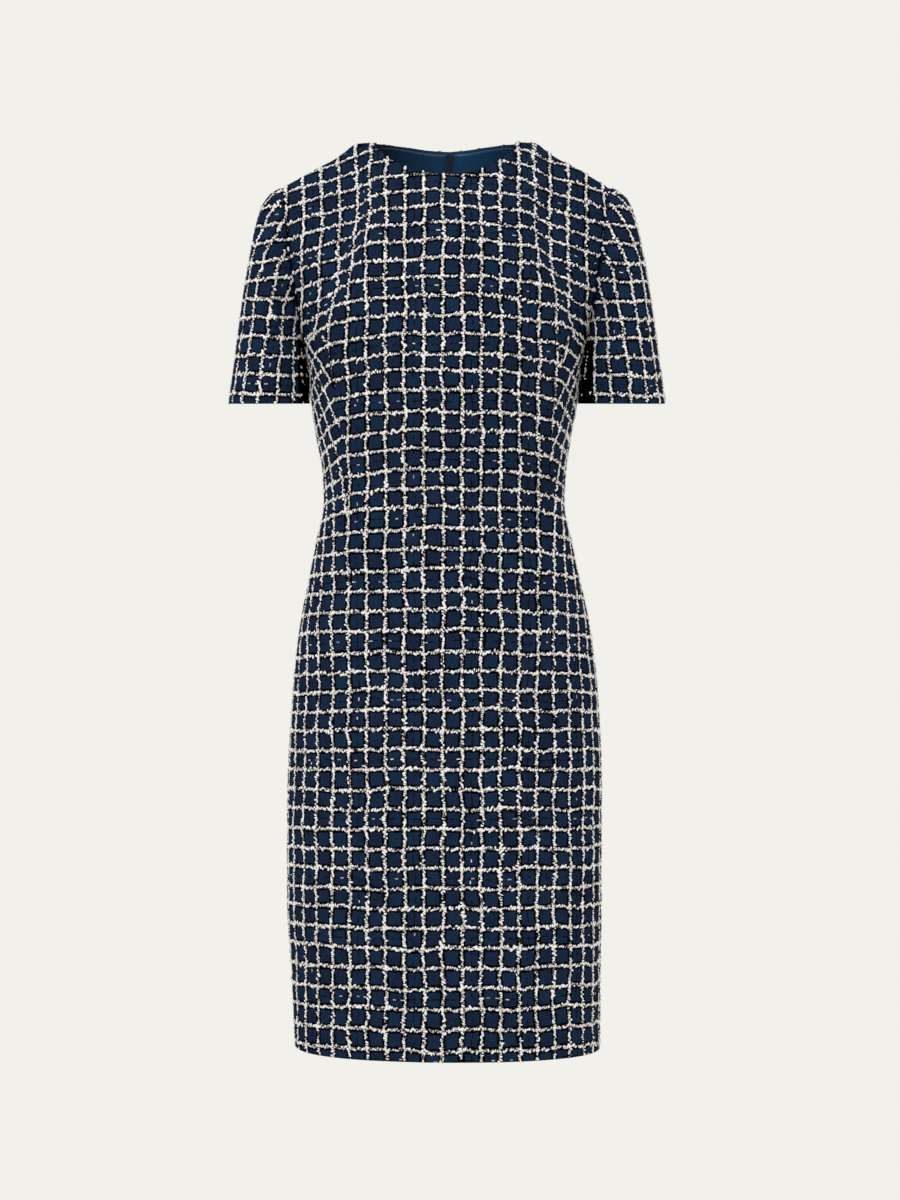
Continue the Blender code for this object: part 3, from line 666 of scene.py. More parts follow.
# ---- Lining and zip, inside the back ----

LINING = 0.0008
TAPE = 0.0006
COIL = 0.0014
SEAM_GAP = 0.0003
ZIP_CLEARANCE = 0.0007
ZIP_DEPTH = CLOTH + ZIP_CLEARANCE
ZIP_END_DROP = 0.53
ZIP_TOP = 0.99
ZIP_ROWS = 150
TAPE_EDGES = (0.0023, 0.0125)
TAPE_COLUMNS = 5
LINING_TOP = 0.985
LINING_ZIP_CLEARANCE = 0.005
LINING_SIDE_SHARE = 5 / 9
LINING_ROWS = 44
LINING_COLUMNS = 24
LINING_RIPPLE = 0.0004
TOOTH_PITCH = 0.0011
TOOTH_SIDES = 6
TOOTH_REACH = 0.0011  # half of a tooth's length across the zip
TOOTH_OFFSET = 0.0008
TOOTH_HALF_WIDTH = 0.00027
TOOTH_HALF_HEIGHT = COIL * 0.48
CORD_X = 0.0017
CORD_RADIUS = 0.0003
CORD_HALF_HEIGHT = COIL * 0.42
CORD_PIECES = 219
CORD_LAP = 0.62  # half a cord piece's length, as a share of their spacing
CORD_END = 0.0005
PATH_STEPS = 2400
ROD_RINGS = ((-1.0, 0.55), (-0.8, 1.0), (0.8, 1.0), (1.0, 0.55))  # place along it, and size


def inside_back(across, heights, depth):
    """Points this deep under the back's outer surface, and their outward directions."""
    outward = form_normal(BACK, across, heights)
    points = form_point(BACK, across, heights) - outward * depth[..., None]
    return lift_neck(points), outward


def lining_cloth(direction):
    """One side of the satin lining, from beside the zip to under the shoulder."""
    underarm = math.asin(UNDERARM_RISE)
    corner = float(across_at(BACK, NECK_HALF_WIDTH, math.pi / 2))
    far = corner + (1 - corner) * LINING_SIDE_SHARE
    steps = np.linspace(0, 1, LINING_COLUMNS + 1)[None, :]

    def places(heights):
        drop = -form_point(BACK, 0.0, heights)[..., 2]
        start = across_at(BACK, back_seam_x(drop) + direction * LINING_ZIP_CLEARANCE, heights)
        seam = across_at(BACK, back_seam_x(drop), heights)
        return start + (far * direction + seam * (1 - far) - start) * steps

    top = top_height(BACK, places(np.full((1, LINING_COLUMNS + 1), math.pi / 2))[0])
    share = np.linspace(0, LINING_TOP, LINING_ROWS + 1)[:, None]
    heights = underarm + (top[None, :] - underarm) * share
    across = places(heights)
    surface = form_point(BACK, across, heights)
    x, drop = surface[..., 0], -surface[..., 2]
    depth = ZIP_DEPTH + TAPE + SEAM_GAP + np.maximum(back_sunk(across, x, drop), 0)
    depth = depth + LINING_RIPPLE * (1 + np.sin(120 * x + 25 * drop)) * (1 - share)
    points, outward = inside_back(across, heights, depth)
    if direction < 0:
        points, outward = points[:, ::-1], outward[:, ::-1]
    return Cloth(points, grid_normals(points, outward), points[..., 0], points[..., 2])


def zip_heights(rows):
    """Heights from the zip's lower end to its top."""
    top = float(top_height(BACK, across_at(BACK, back_seam_x(0.0), math.pi / 2))) * ZIP_TOP
    return np.linspace(BUST_DROP - ZIP_END_DROP, top, rows)


def beside_seam(x, heights):
    """Across values at distances from the centre-back seam."""
    drop = -form_point(BACK, 0.0, heights)[..., 2]
    return across_at(BACK, back_seam_x(drop) + x, heights)


def tape_cloth(direction):
    """One side's zip tape, a long strip beside the coil."""
    heights = np.repeat(zip_heights(ZIP_ROWS)[:, None], TAPE_COLUMNS, axis=1)
    x = np.sort(direction * np.linspace(*TAPE_EDGES, TAPE_COLUMNS))[None, :]
    depth = np.full(heights.shape, ZIP_DEPTH)
    points, outward = inside_back(beside_seam(x, heights), heights, depth)
    return Cloth(points, grid_normals(points, outward), points[..., 0], points[..., 2])


def rods(centres, halves, facing, half_width, half_height):
    """Six-sided bars round centres, as vertices and triangles. Halves reach from centre to end."""
    count = len(centres)
    beside = unit(np.cross(facing, halves))
    angles = 2 * math.pi * np.arange(TOOTH_SIDES) / TOOTH_SIDES
    rings = []
    for along, size in ROD_RINGS:
        ring = (
            (centres + halves * along)[:, None]
            + beside[:, None] * (half_width * size * np.cos(angles))[None, :, None]
            + facing[:, None] * (half_height * size * np.sin(angles))[None, :, None]
        )
        rings.append(ring)
    vertices = np.concatenate(rings, axis=1)
    faces = []
    for ring in range(len(ROD_RINGS) - 1):
        for k in range(TOOTH_SIDES):
            a, b = ring * TOOTH_SIDES + k, ring * TOOTH_SIDES + (k + 1) % TOOTH_SIDES
            faces += [(a, b, b + TOOTH_SIDES), (a, b + TOOTH_SIDES, a + TOOTH_SIDES)]
    last = (len(ROD_RINGS) - 1) * TOOTH_SIDES
    for k in range(1, TOOTH_SIDES - 1):
        faces += [(0, k + 1, k), (last, last + k, last + k + 1)]
    size = len(rings) * TOOTH_SIDES
    faces = (np.array(faces)[None] + (np.arange(count) * size)[:, None, None]).reshape(-1, 3)
    return vertices.reshape(-1, 3), faces


def zip_teeth(name, paint):
    """The closed coil: its turns from either side in alternation, and the cord along each."""
    fine = zip_heights(PATH_STEPS)
    depth = np.full(fine.shape, ZIP_DEPTH + COIL / 2)
    path, outward = inside_back(beside_seam(0.0, fine), fine, depth)
    lengths = np.concatenate([[0], np.cumsum(np.linalg.norm(np.diff(path, axis=0), axis=-1))])

    def at(places):
        facing = unit(read_path(places, lengths, outward))
        ahead = read_path(places + AHEAD, lengths, path)
        along = unit(ahead - read_path(places - AHEAD, lengths, path))
        return read_path(places, lengths, path), facing, along, unit(np.cross(along, facing))

    places = np.arange(TOOTH_PITCH, lengths[-1] - TOOTH_PITCH / 2, TOOTH_PITCH / 2)
    spots, facing, along, across = at(places)
    sides = np.where(np.arange(len(places)) % 2 == 0, 1.0, -1.0)[:, None]
    centres = spots + across * sides * TOOTH_OFFSET
    groups = [(centres, across * TOOTH_REACH, facing, TOOTH_HALF_WIDTH, TOOTH_HALF_HEIGHT)]
    cuts = np.linspace(CORD_END, lengths[-1] - CORD_END, CORD_PIECES + 1)
    middle, facing, along, across = at((cuts[1:] + cuts[:-1]) / 2)
    half = along * (cuts[1] - cuts[0]) * CORD_LAP
    for side in (-1, 1):
        cord = middle + across * side * CORD_X
        groups.append((cord, half, facing, CORD_RADIUS, CORD_HALF_HEIGHT))
    vertices, faces, total = [], [], 0
    for group in groups:
        made, triangles = rods(*group)
        vertices.append(made)
        faces.append(triangles + total)
        total += len(made)
    faces = np.concatenate(faces)
    looks = np.zeros(len(faces))
    return mesh_object(name, np.concatenate(vertices), faces, looks, [paint], smooth_shade=False)


# ---- Sleeves ----

SLEEVE_ROWS = 42
SLEEVE_LEVELS = 120
SLEEVE_HUG = 0.0010  # how much nearer to the body its inner side lies
SLEEVE_HUG_WIDTH = 0.07
SLEEVE_HUG_FADE = 0.25
# Inside this x and below this drop, a sleeve's inner side gets painted shade against the body
SLEEVE_SHADE_X = 0.1535
SLEEVE_SHADE_DROP = 0.212
SLEEVE_ROW_PITCH = 0.0199
SLEEVE_CAP_DROP = 0.13
SLEEVE_CAP_FADE = 0.05
SLEEVE_CAP_SLOPE = 0.09
SLEEVE_CAP_X = 0.19
SleevePhase = namedtuple("SleevePhase", "column row")
SLEEVE_PHASES = {1: SleevePhase(0.08, 0.42), -1: SleevePhase(0.10, 0.49)}
ARMHOLE_STEPS = 46
ARMHOLE_POWER = 1.5  # above 1, its points crowd at the underarm
SLEEVE_SEAM_GAP = 0.0003
SLEEVE_SEAM_SINK = 0.0009
SLEEVE_SEAM_WIDTH = 0.0030
SLEEVE_WRINKLE = 0.0003
SLEEVE_TOP_CALM, SLEEVE_HEM_CALM = 0.12, 0.08  # creases fade this near its ends, as a share
CREASE_TOP_FADE, CREASE_BOTTOM_FADE = 0.15, 0.20
SleeveCrease = namedtuple("SleeveCrease", "turn top bottom drift depth width")
SLEEVE_CREASES = (
    SleeveCrease(0.16, 0.10, 0.62, 0.030, 0.0020, 0.026),
    SleeveCrease(0.25, 0.05, 0.55, 0.045, 0.0016, 0.030),
    SleeveCrease(0.36, 0.30, 0.95, -0.020, 0.0010, 0.034),
    SleeveCrease(0.70, 0.08, 0.60, -0.040, 0.0018, 0.030),
    SleeveCrease(0.83, 0.10, 0.66, -0.030, 0.0018, 0.028),
    SleeveCrease(0.60, 0.35, 0.95, 0.020, 0.0010, 0.032),
)


def armhole_edge(direction):
    """Points and outward directions round an armhole, mirrored to +X."""
    underarm = math.asin(UNDERARM_RISE)
    steps = np.linspace(0, 1, ARMHOLE_STEPS + 1) ** ARMHOLE_POWER
    heights = underarm + (math.pi / 2 - underarm) * steps
    flip = np.array((direction, 1, 1))
    points, normals = [], []
    for side, run in ((FRONT, heights), (BACK, heights[-2:0:-1])):
        across = np.full(run.shape, float(direction))
        points.append(form_point(side, across, run) * flip)
        normals.append(form_normal(side, across * (1 - TINY), run) * flip)
    return np.concatenate(points), np.concatenate(normals)


def sleeve_hem_point(direction, turn):
    """Points round a sleeve's hem, a rounded loop."""
    angle = 2 * math.pi * turn
    round_off = 2 / SLEEVE_HEM_ROUNDNESS
    hem = SLEEVE_HEMS[direction]
    x = hem.middle_x - hem.half_width * power(np.cos(angle), round_off)
    y = -SLEEVE_HEM_HALF_DEPTH * power(np.sin(angle), round_off)
    return np.stack([x, SLEEVE_HEM_Y + y, SLEEVE_HEM_TILT * y - SLEEVE_HEM_DROP], axis=-1)


def sleeve_check(grid, top, direction):
    """A sleeve's check. Its rows lie level with the hem, and its columns are counted along each
    level section, from the sleeve's top line."""
    level_of = grid[..., 2] - SLEEVE_HEM_TILT * (grid[..., 1] - SLEEVE_HEM_Y)
    levels = np.linspace(level_of.min(), level_of.max(), SLEEVE_LEVELS)
    columns = range(grid.shape[1])

    def on_levels(j, axis):
        return np.interp(levels, level_of[::-1, j], grid[::-1, j, axis])

    sections = np.stack([[on_levels(j, axis) for j in columns] for axis in (0, 1)], axis=-1)
    steps = np.linalg.norm(np.diff(sections, axis=0), axis=-1)
    around = np.concatenate([np.zeros((1, SLEEVE_LEVELS)), np.cumsum(steps, axis=0)])
    around -= around[top]
    up = edge_distance(grid, 0, 1)[:, top]
    u = np.stack([np.interp(level_of[:, j], levels, around[j]) for j in columns], axis=1)
    v = -np.interp(level_of, level_of[::-1, top], up[::-1]) / SLEEVE_ROW_PITCH
    near_cap = smooth((level_of + SLEEVE_CAP_DROP) / SLEEVE_CAP_FADE + 1)
    v = v + near_cap * SLEEVE_CAP_SLOPE * (SLEEVE_CAP_X - grid[..., 0]) / SLEEVE_ROW_PITCH
    phase = SLEEVE_PHASES[direction]
    return u * direction / PITCH_ACROSS + phase.column, v + phase.row


def against_body(points):
    """Where a sleeve's inner side lies against the body, it gets painted shade: its weave is set to
    a cell that the tweed paints near-black, and only a share of its lumps is built.
    """
    return (np.abs(points[..., 0]) < SLEEVE_SHADE_X) & (points[..., 2] < -SLEEVE_SHADE_DROP)


def sleeve_surface(direction):
    """A sleeve's grid at +X without creases, and its rows' shares of the way down."""
    points, normals = armhole_edge(direction)
    lengths = np.linalg.norm(points - np.roll(points, 1, axis=0), axis=-1)
    turn = np.concatenate([[0], np.cumsum(lengths[1:])]) / lengths.sum()
    tangent = unit(np.roll(points, -1, axis=0) - np.roll(points, 1, axis=0))
    into_hole = unit(np.cross(tangent, normals))
    near = np.minimum(turn, 1 - turn)
    begin = {name: read_table(SLEEVE_START, name, near) for name in SleeveStart._fields[1:]}
    forward = np.where(turn <= 0.5, -1.0, 1.0) * begin["forward"]
    leave = unit(np.stack([begin["out"], forward, -begin["down"]], axis=-1))
    lean = unit(np.stack([-begin["lean"], 0 * near, 1 + 0 * near], axis=-1))
    start = points + into_hole * SLEEVE_SEAM_GAP
    second = start + leave * begin["reach"][:, None]
    end = sleeve_hem_point(direction, turn)
    third = end + lean * begin["settle"][:, None]
    t = crowded(0.0, 1.0, SLEEVE_ROWS, True, True)[:, None, None]
    grid = (
        start * (1 - t) ** 3
        + second * 3 * t * (1 - t) ** 2
        + third * 3 * t * t * (1 - t)
        + end * t**3
    )
    return np.concatenate([grid, grid[:, :1]], axis=1), np.concatenate([turn, [1.0]]), t[:, 0]


def sleeve_sunk(share, around):
    """How deep a sleeve's creases are, in metres."""
    sunk = np.zeros(np.broadcast_shapes(share.shape, around.shape))
    for crease in SLEEVE_CREASES:
        at = crease.turn + crease.drift * (share - crease.top)
        run = smooth((share - crease.top) / CREASE_TOP_FADE)
        run = run * (1 - smooth((share - crease.bottom) / CREASE_BOTTOM_FADE))
        sunk += crease.depth * run * np.exp(-(((around - at) / crease.width) ** 2))
    sunk += SLEEVE_WRINKLE * (np.sin(31 * around + 9 * share) + np.sin(17 * share + 23 * around))
    return sunk * (smooth(share / SLEEVE_TOP_CALM) * smooth((1 - share) / SLEEVE_HEM_CALM))


def sleeve_cloth(direction):
    """A sleeve, made at +X and then mirrored. Its first and last columns are the underarm seam."""
    grid, turns, share = sleeve_surface(direction)
    centre = grid[:, :-1].mean(axis=1, keepdims=True)
    outward = grid_normals(grid, grid - centre)
    u, v = sleeve_check(grid, int(np.argmin(np.abs(turns - 0.5))), direction)
    u, v = wander(grid, u, v, SLEEVE_SALT + direction)
    grid = grid - outward * sleeve_sunk(share, turns[None, :])[..., None]
    hug = np.exp(-((np.minimum(turns, 1 - turns)[None, :] / SLEEVE_HUG_WIDTH) ** 2))
    hug = hug * smooth(share / SLEEVE_HUG_FADE)
    grid[..., 0] -= SLEEVE_HUG * hug
    grid = sink_edges(grid, outward, ((0, 0),), SLEEVE_SEAM_SINK, SLEEVE_SEAM_WIDTH)
    flip = np.array((direction, 1, 1))
    grid, outward = grid * flip, outward * flip
    # The sleeve's inner side against the body gets painted shade, through the region below
    return Cloth(grid, grid_normals(grid, outward), u, v, Other(against_body, None, None))


# ---- Mesh making ----


def mesh_object(name, vertices, faces, face_materials, paints, weave=None, smooth_shade=True):
    """A mesh from arrays. Weave is a pair of arrays, one value for each face corner."""
    data = bpy.data.meshes.new(name)
    faces = np.asarray(faces, dtype=np.int32)
    count, sides = faces.shape
    data.vertices.add(len(vertices))
    data.vertices.foreach_set("co", np.asarray(vertices, dtype=np.float32).ravel())
    data.loops.add(count * sides)
    data.loops.foreach_set("vertex_index", faces.ravel())
    data.polygons.add(count)
    data.polygons.foreach_set("loop_start", np.arange(0, count * sides, sides, dtype=np.int32))
    data.polygons.foreach_set("loop_total", np.full(count, sides, dtype=np.int32))
    data.polygons.foreach_set("material_index", np.asarray(face_materials, dtype=np.int32))
    for paint in paints:
        data.materials.append(paint)
    data.update(calc_edges=True)
    if weave is not None:
        layer = data.uv_layers.new(name="weave")
        layer.data.foreach_set("uv", np.stack(weave, axis=-1).astype(np.float32).ravel())
    data.validate()
    if smooth_shade:
        data.shade_smooth()
    made = bpy.data.objects.new(name, data)
    bpy.context.scene.collection.objects.link(made)
    return made


# Weave value set where a sleeve lies against the body; the tweed paints it near-black as painted
# shade
PAINTED_SHADE_CELL = 0.115
RIM_BULGE = 0.32  # how far a cut edge is rounded out, in thicknesses
WELD_DISTANCE = 1e-6


def shell(name, cloth, paints, closed=False, thickness=CLOTH):
    """A thin shell: the outer grid, the inner grid and rounded edges between them."""
    grid, normals = cloth.points, cloth.normals
    outer = grid.reshape(-1, 3)
    inner = (grid - normals * thickness).reshape(-1, 3)
    places = np.arange(len(outer)).reshape(grid.shape[:2])
    corners = (places[:-1, :-1], places[:-1, 1:], places[1:, 1:], places[1:, :-1])
    quads = np.stack([corner.ravel() for corner in corners], axis=1)
    facing = np.cross(grid[1, 1] - grid[1, 0], grid[2, 0] - grid[1, 0])
    turned = np.dot(facing, normals[1, 0]) < 0
    if turned:
        quads = quads[:, ::-1]
    vertices = [outer, inner]
    faces = [quads, quads[:, ::-1] + len(outer)]
    looks = [np.zeros(len(quads)), np.ones(len(quads))]
    us, vs = [], []

    def add_weave(corners):
        u, v = cloth.u.ravel()[corners], cloth.v.ravel()[corners]
        if cloth.other:
            there = cloth.other.region(outer[corners].mean(axis=1))[:, None]
            # Where the other check has no fields, the weave takes the painted-shade cell, which the
            # tweed paints near-black
            other_u = PAINTED_SHADE_CELL if cloth.other.u is None else cloth.other.u.ravel()[corners]
            other_v = PAINTED_SHADE_CELL if cloth.other.v is None else cloth.other.v.ravel()[corners]
            u, v = np.where(there, other_u, u), np.where(there, other_v, v)
        us.append(u.ravel())
        vs.append(v.ravel())

    add_weave(quads)
    add_weave(quads[:, ::-1])

    total = 2 * len(outer)
    for axis, end in ((0, 0), (0, -1)) + (() if closed else ((1, 0), (1, -1))):
        edge = places.take(end, axis=axis)
        near = places.take(-2 if end else 1, axis=axis)
        outwards = unit(outer[edge] - outer[near])
        vertices.append((outer[edge] + inner[edge]) / 2 + outwards * thickness * RIM_BULGE)
        rim = total + np.arange(len(edge))
        total += len(edge)
        order = -1 if ((end == 0) != (axis == 1)) != turned else 1
        for first, second in ((edge, rim), (rim, edge + len(outer))):
            strip = np.stack([first[:-1], first[1:], second[1:], second[:-1]], axis=1)
            faces.append(strip[:, ::order])
            looks.append(np.zeros(len(strip)))
            ends = np.stack([edge[:-1], edge[1:], edge[1:], edge[:-1]], axis=1)
            add_weave(ends[:, ::order])
    made = mesh_object(
        name,
        np.concatenate(vertices),
        np.concatenate(faces),
        np.concatenate(looks),
        paints,
        (np.concatenate(us), np.concatenate(vs)),
    )
    if closed:
        weld = made.modifiers.new("seam", "WELD")
        weld.merge_threshold = WELD_DISTANCE
    return made


# ---- Boucle yarn: lumps along every line of the check ----

LUMP_STEP = 0.0023
LUMP_JITTER = 0.3
LUMP_SIDES = 5
LUMP_BASE, LUMP_WAIST, LUMP_WAIST_RADIUS = -0.35, 0.6, 0.74
LUMP_HALF_LENGTH = 0.00200
LUMP_HALF_WIDTH = 0.00118
LUMP_HEIGHT = 0.00115
LUMP_STRAY = 0.00095
LUMP_TWIST, LUMP_TWIST_SPREAD = 1.0, 0.65  # from the line's direction, in radians
LUMP_STRAY_LIMIT = 1.6
LUMP_LIFT, LUMP_LIFT_SPREAD = 0.00005, 0.0003
LUMP_SWELL, LUMP_SPREAD, LUMP_SPREAD_LIMIT = 0.10, 0.17, 1.5
LUMP_SIZES = (0.65, 1.4)
LUMP_GAPS, LUMP_THIN_GAPS = 0.10, 0.14  # the shares left out, everywhere and where the yarn is thin
THIN_SWELL = -0.9
SWELL_LENGTHS = (0.0061, 0.0027)
JUMP = 0.6  # a step of the check this large, in cells, is a break and no line
NEIGHBOUR_GAP = 0.016
LINE_AHEAD = 0.002
SHADE_LUMP_SHARE = 0.28  # the share of lumps that is built where a sleeve lies against the body; the rest are left out as painted shade


def crossings(values, level, points, normals):
    """Where the level line of a grid of values crosses each grid row, in runs of neighbours."""
    runs, run = [], []
    for i in range(values.shape[0]):
        row = values[i]
        over = (row[:-1] - level) * (row[1:] - level) <= 0
        hits = np.nonzero(over & (row[:-1] != row[1:]))[0]
        here = []
        for j in hits:
            if abs(row[j + 1] - row[j]) < JUMP:
                t = (level - row[j]) / (row[j + 1] - row[j])
                grids = (points, normals)
                here.append([grid[i, j] * (1 - t) + grid[i, j + 1] * t for grid in grids])
        runs.append(here)
    lines, open_lines = [], []
    for here in runs:
        left = list(here)
        still = []
        for line in open_lines:
            best = None
            for place in left:
                gap = np.linalg.norm(place[0] - line[-1][0])
                if gap < NEIGHBOUR_GAP and (best is None or gap < best[0]):
                    best = (gap, place)
            if best is None:
                lines.append(line)
            else:
                line.append(best[1])
                left = [place for place in left if place is not best[1]]
                still.append(line)
        open_lines = still + [[place] for place in left]
    return [line for line in lines + open_lines if len(line) > 1]


def along_line(line, step, noise):
    """Points, normals, directions and lengths at jittered steps along a run of points."""
    points = np.array([place[0] for place in line])
    normals = unit(np.array([place[1] for place in line]))
    lengths = np.concatenate([[0], np.cumsum(np.linalg.norm(np.diff(points, axis=0), axis=-1))])
    if lengths[-1] < step:
        return None
    at = np.arange(step * noise.random(), lengths[-1], step)
    at = np.clip(at + step * LUMP_JITTER * (noise.random(len(at)) - 0.5), 0, lengths[-1])
    ahead = read_path(at + LINE_AHEAD, lengths, points)
    along = unit(ahead - read_path(at - LINE_AHEAD, lengths, points))
    return read_path(at, lengths, points), unit(read_path(at, lengths, normals)), along, at


def lump_shape():
    """One lump: a low dome, as unit-sized points and triangles."""
    n = LUMP_SIDES
    angles = 2 * math.pi * np.arange(n) / n
    turned = angles + math.pi / n
    base = np.stack([np.cos(angles), np.sin(angles), np.full(n, LUMP_BASE)], axis=-1)
    waist = LUMP_WAIST_RADIUS * np.stack([np.cos(turned), np.sin(turned)], axis=-1)
    waist = np.column_stack([waist, np.full(n, LUMP_WAIST)])
    faces = []
    for k in range(n):
        m = (k + 1) % n
        faces += [(k, m, n + k), (m, n + m, n + k), (n + k, n + m, 2 * n)]
    return np.concatenate([base, waist, [[0.0, 0.0, 1.0]]]), np.array(faces)


def checks_of(cloth, noise):
    """The cloth's checks, each as its two fields and a test of where it holds."""
    if not cloth.other:
        return [(cloth.u, cloth.v, lambda points: np.ones(len(points), bool))]
    region = cloth.other.region

    def outside(points):
        return ~region(points)

    # Against the body only a share of the lumps is built, thinning the ivory lines as painted shade
    def thinned_for_shade(points):
        return outside(points) | (noise.random(len(points)) < SHADE_LUMP_SHARE)

    if cloth.other.u is None:
        return [(cloth.u, cloth.v, thinned_for_shade)]
    return [(cloth.u, cloth.v, outside), (cloth.other.u, cloth.other.v, region)]


def scatter(name, unit_shape, paint, centres, axes, sizes):
    """Copies of one small shape as a joined mesh, each with its own three axes and half sizes."""
    shape, faces = unit_shape
    vertices = centres[:, None]
    for k in range(3):
        vertices = vertices + axes[k][:, None] * (sizes[k][:, None] * shape[None, :, k])[..., None]
    starts = np.arange(len(centres)) * len(shape)
    faces = (faces[None] + starts[:, None, None]).reshape(-1, 3)
    return mesh_object(name, vertices.reshape(-1, 3), faces, np.zeros(len(faces)), [paint])


def thread_places(cloth, count_rows, first, period, step, noise):
    """Places along the check's lines: points, outward and onward directions, and lengths."""
    for u, v, holds in checks_of(cloth, noise):
        values, points, normals = v if count_rows else u, cloth.points, cloth.normals
        if count_rows:
            values, points, normals = values.T, points.swapaxes(0, 1), normals.swapaxes(0, 1)
        low = math.ceil((values.min() - first) / period)
        high = math.floor((values.max() - first) / period)
        for k in range(low, high + 1):
            for line in crossings(values, first + period * k, points, normals):
                found = along_line(line, step, noise)
                if found is None:
                    continue
                kept = holds(found[0])
                if kept.any():
                    yield tuple(part[kept] for part in found)


BARE_NECK_HALF_WIDTH = 0.037
BARE_NECK_DROP = 0.0570
BARE_PULL_HALF_WIDTH = 0.0065
BARE_PULL_TOP, BARE_PULL_END = 0.005, 0.043


def at_front_neck(points):
    """The plain strip at the middle of the front neck edge, where no row shows."""
    beside = np.abs(points[:, 0] - CENTRE_LINE_X) < BARE_NECK_HALF_WIDTH
    return beside & (points[:, 2] > -BARE_NECK_DROP)


def under_pull(points):
    """Where the zip's slider and pull lie flat on the back, so that no lump runs into them."""
    beside = np.abs(points[:, 0] - BACK_SEAM_SHIFT) < BARE_PULL_HALF_WIDTH
    return beside & (points[:, 2] > -BARE_PULL_END) & (points[:, 2] < -BARE_PULL_TOP)


def yarn(name, cloth, count_rows, paint, seed, bare=None):
    """The lumps along the check's columns, or its rows, as one joined mesh."""
    noise = np.random.default_rng(seed)
    parts = []
    for where, facing, along, at in thread_places(cloth, count_rows, 0, 1, LUMP_STEP, noise):
        swell = sum(np.sin(at / length + 9 * noise.random()) for length in SWELL_LENGTHS)
        parts.append((where, facing, along, swell))
    where, facing, along, swell = (np.concatenate(part) for part in zip(*parts))
    kept = noise.random(len(where)) > LUMP_GAPS + LUMP_THIN_GAPS * (swell < THIN_SWELL)
    if bare:
        kept &= ~bare(where)
    where, facing, along, swell = where[kept], facing[kept], along[kept], swell[kept]
    count = len(where)
    side = unit(np.cross(facing, along))
    stray = noise.standard_normal(count).clip(-LUMP_STRAY_LIMIT, LUMP_STRAY_LIMIT)
    stray = LUMP_STRAY * stray
    lift = LUMP_LIFT + LUMP_LIFT_SPREAD * noise.random(count)
    centres = where + side * stray[:, None] + facing * lift[:, None]
    twist = noise.normal(LUMP_TWIST, LUMP_TWIST_SPREAD, count)
    ahead = along * np.cos(twist)[:, None] + side * np.sin(twist)[:, None]
    beside = unit(np.cross(facing, ahead))
    spread = noise.standard_normal(count).clip(-LUMP_SPREAD_LIMIT, LUMP_SPREAD_LIMIT)
    size = (1 + LUMP_SWELL * swell + LUMP_SPREAD * spread).clip(*LUMP_SIZES)
    sizes = (
        LUMP_HALF_LENGTH * size * (0.7 + 0.6 * noise.random(count)),
        LUMP_HALF_WIDTH * size * (0.8 + 0.4 * noise.random(count)),
        LUMP_HEIGHT * size.clip(0.8, 1.2) * (0.8 + 0.5 * noise.random(count)),
    )
    shape = lump_shape()
    made = scatter(name, shape, paint, centres, (ahead, beside, facing), sizes)
    corners = shape[0]
    store(made, "tone", np.repeat(noise.random(count), len(corners)))
    # Marks each lump's base ring, which the yarn paint darkens as painted shade
    store(made, "low", np.tile(corners[:, 2] < 0, count))
    return made


def store(piece, name, values):
    """A value for each corner, which the piece's material reads."""
    layer = piece.data.attributes.new(name, "FLOAT", "POINT")
    layer.data.foreach_set("value", np.asarray(values, dtype=np.float32))


Dash = namedtuple("Dash", "along_rows first chance half_length")
DASHES = (Dash(True, -0.5, 0.22, 0.0018), Dash(False, 1.5, 0.09, 0.0016))
DASH_PERIOD = 3
DASH_STEP = 0.0097
DASH_HALF_WIDTH = 0.00052
DASH_HEIGHT = 0.0005
DASH_LIFT = 0.0001
DASH_POINTS = ((-1, -1, 0), (1, -1, 0), (1, 1, 0), (-1, 1, 0), (-0.7, 0, 1), (0.7, 0, 1))
DASH_FACES = ((0, 1, 5), (0, 5, 4), (1, 2, 5), (2, 3, 4), (2, 4, 5), (3, 0, 4))


def dashes(name, cloth, paint, seed):
    """Short pale stitches of the thin threads that run midway along every third row and column."""
    noise = np.random.default_rng(seed)
    placed = []
    for dash in DASHES:
        lines = thread_places(cloth, dash.along_rows, dash.first, DASH_PERIOD, DASH_STEP, noise)
        for where, facing, along, _ in lines:
            kept = noise.random(len(where)) < dash.chance
            if kept.any():
                lengths = np.full(kept.sum(), dash.half_length)
                placed.append((where[kept], facing[kept], along[kept], lengths))
    where, facing, along, length = (np.concatenate(part) for part in zip(*placed))
    count = len(where)
    sizes = (
        length * (0.7 + 0.5 * noise.random(count)),
        np.full(count, DASH_HALF_WIDTH),
        np.full(count, DASH_HEIGHT),
    )
    axes = (along, unit(np.cross(facing, along)), facing)
    shape = (np.array(DASH_POINTS, float), np.array(DASH_FACES))
    made = scatter(name, shape, paint, where + facing * DASH_LIFT, axes, sizes)
    store(made, "tone", np.repeat(noise.random(count), len(DASH_POINTS)))
    return made


# ---- Materials ----


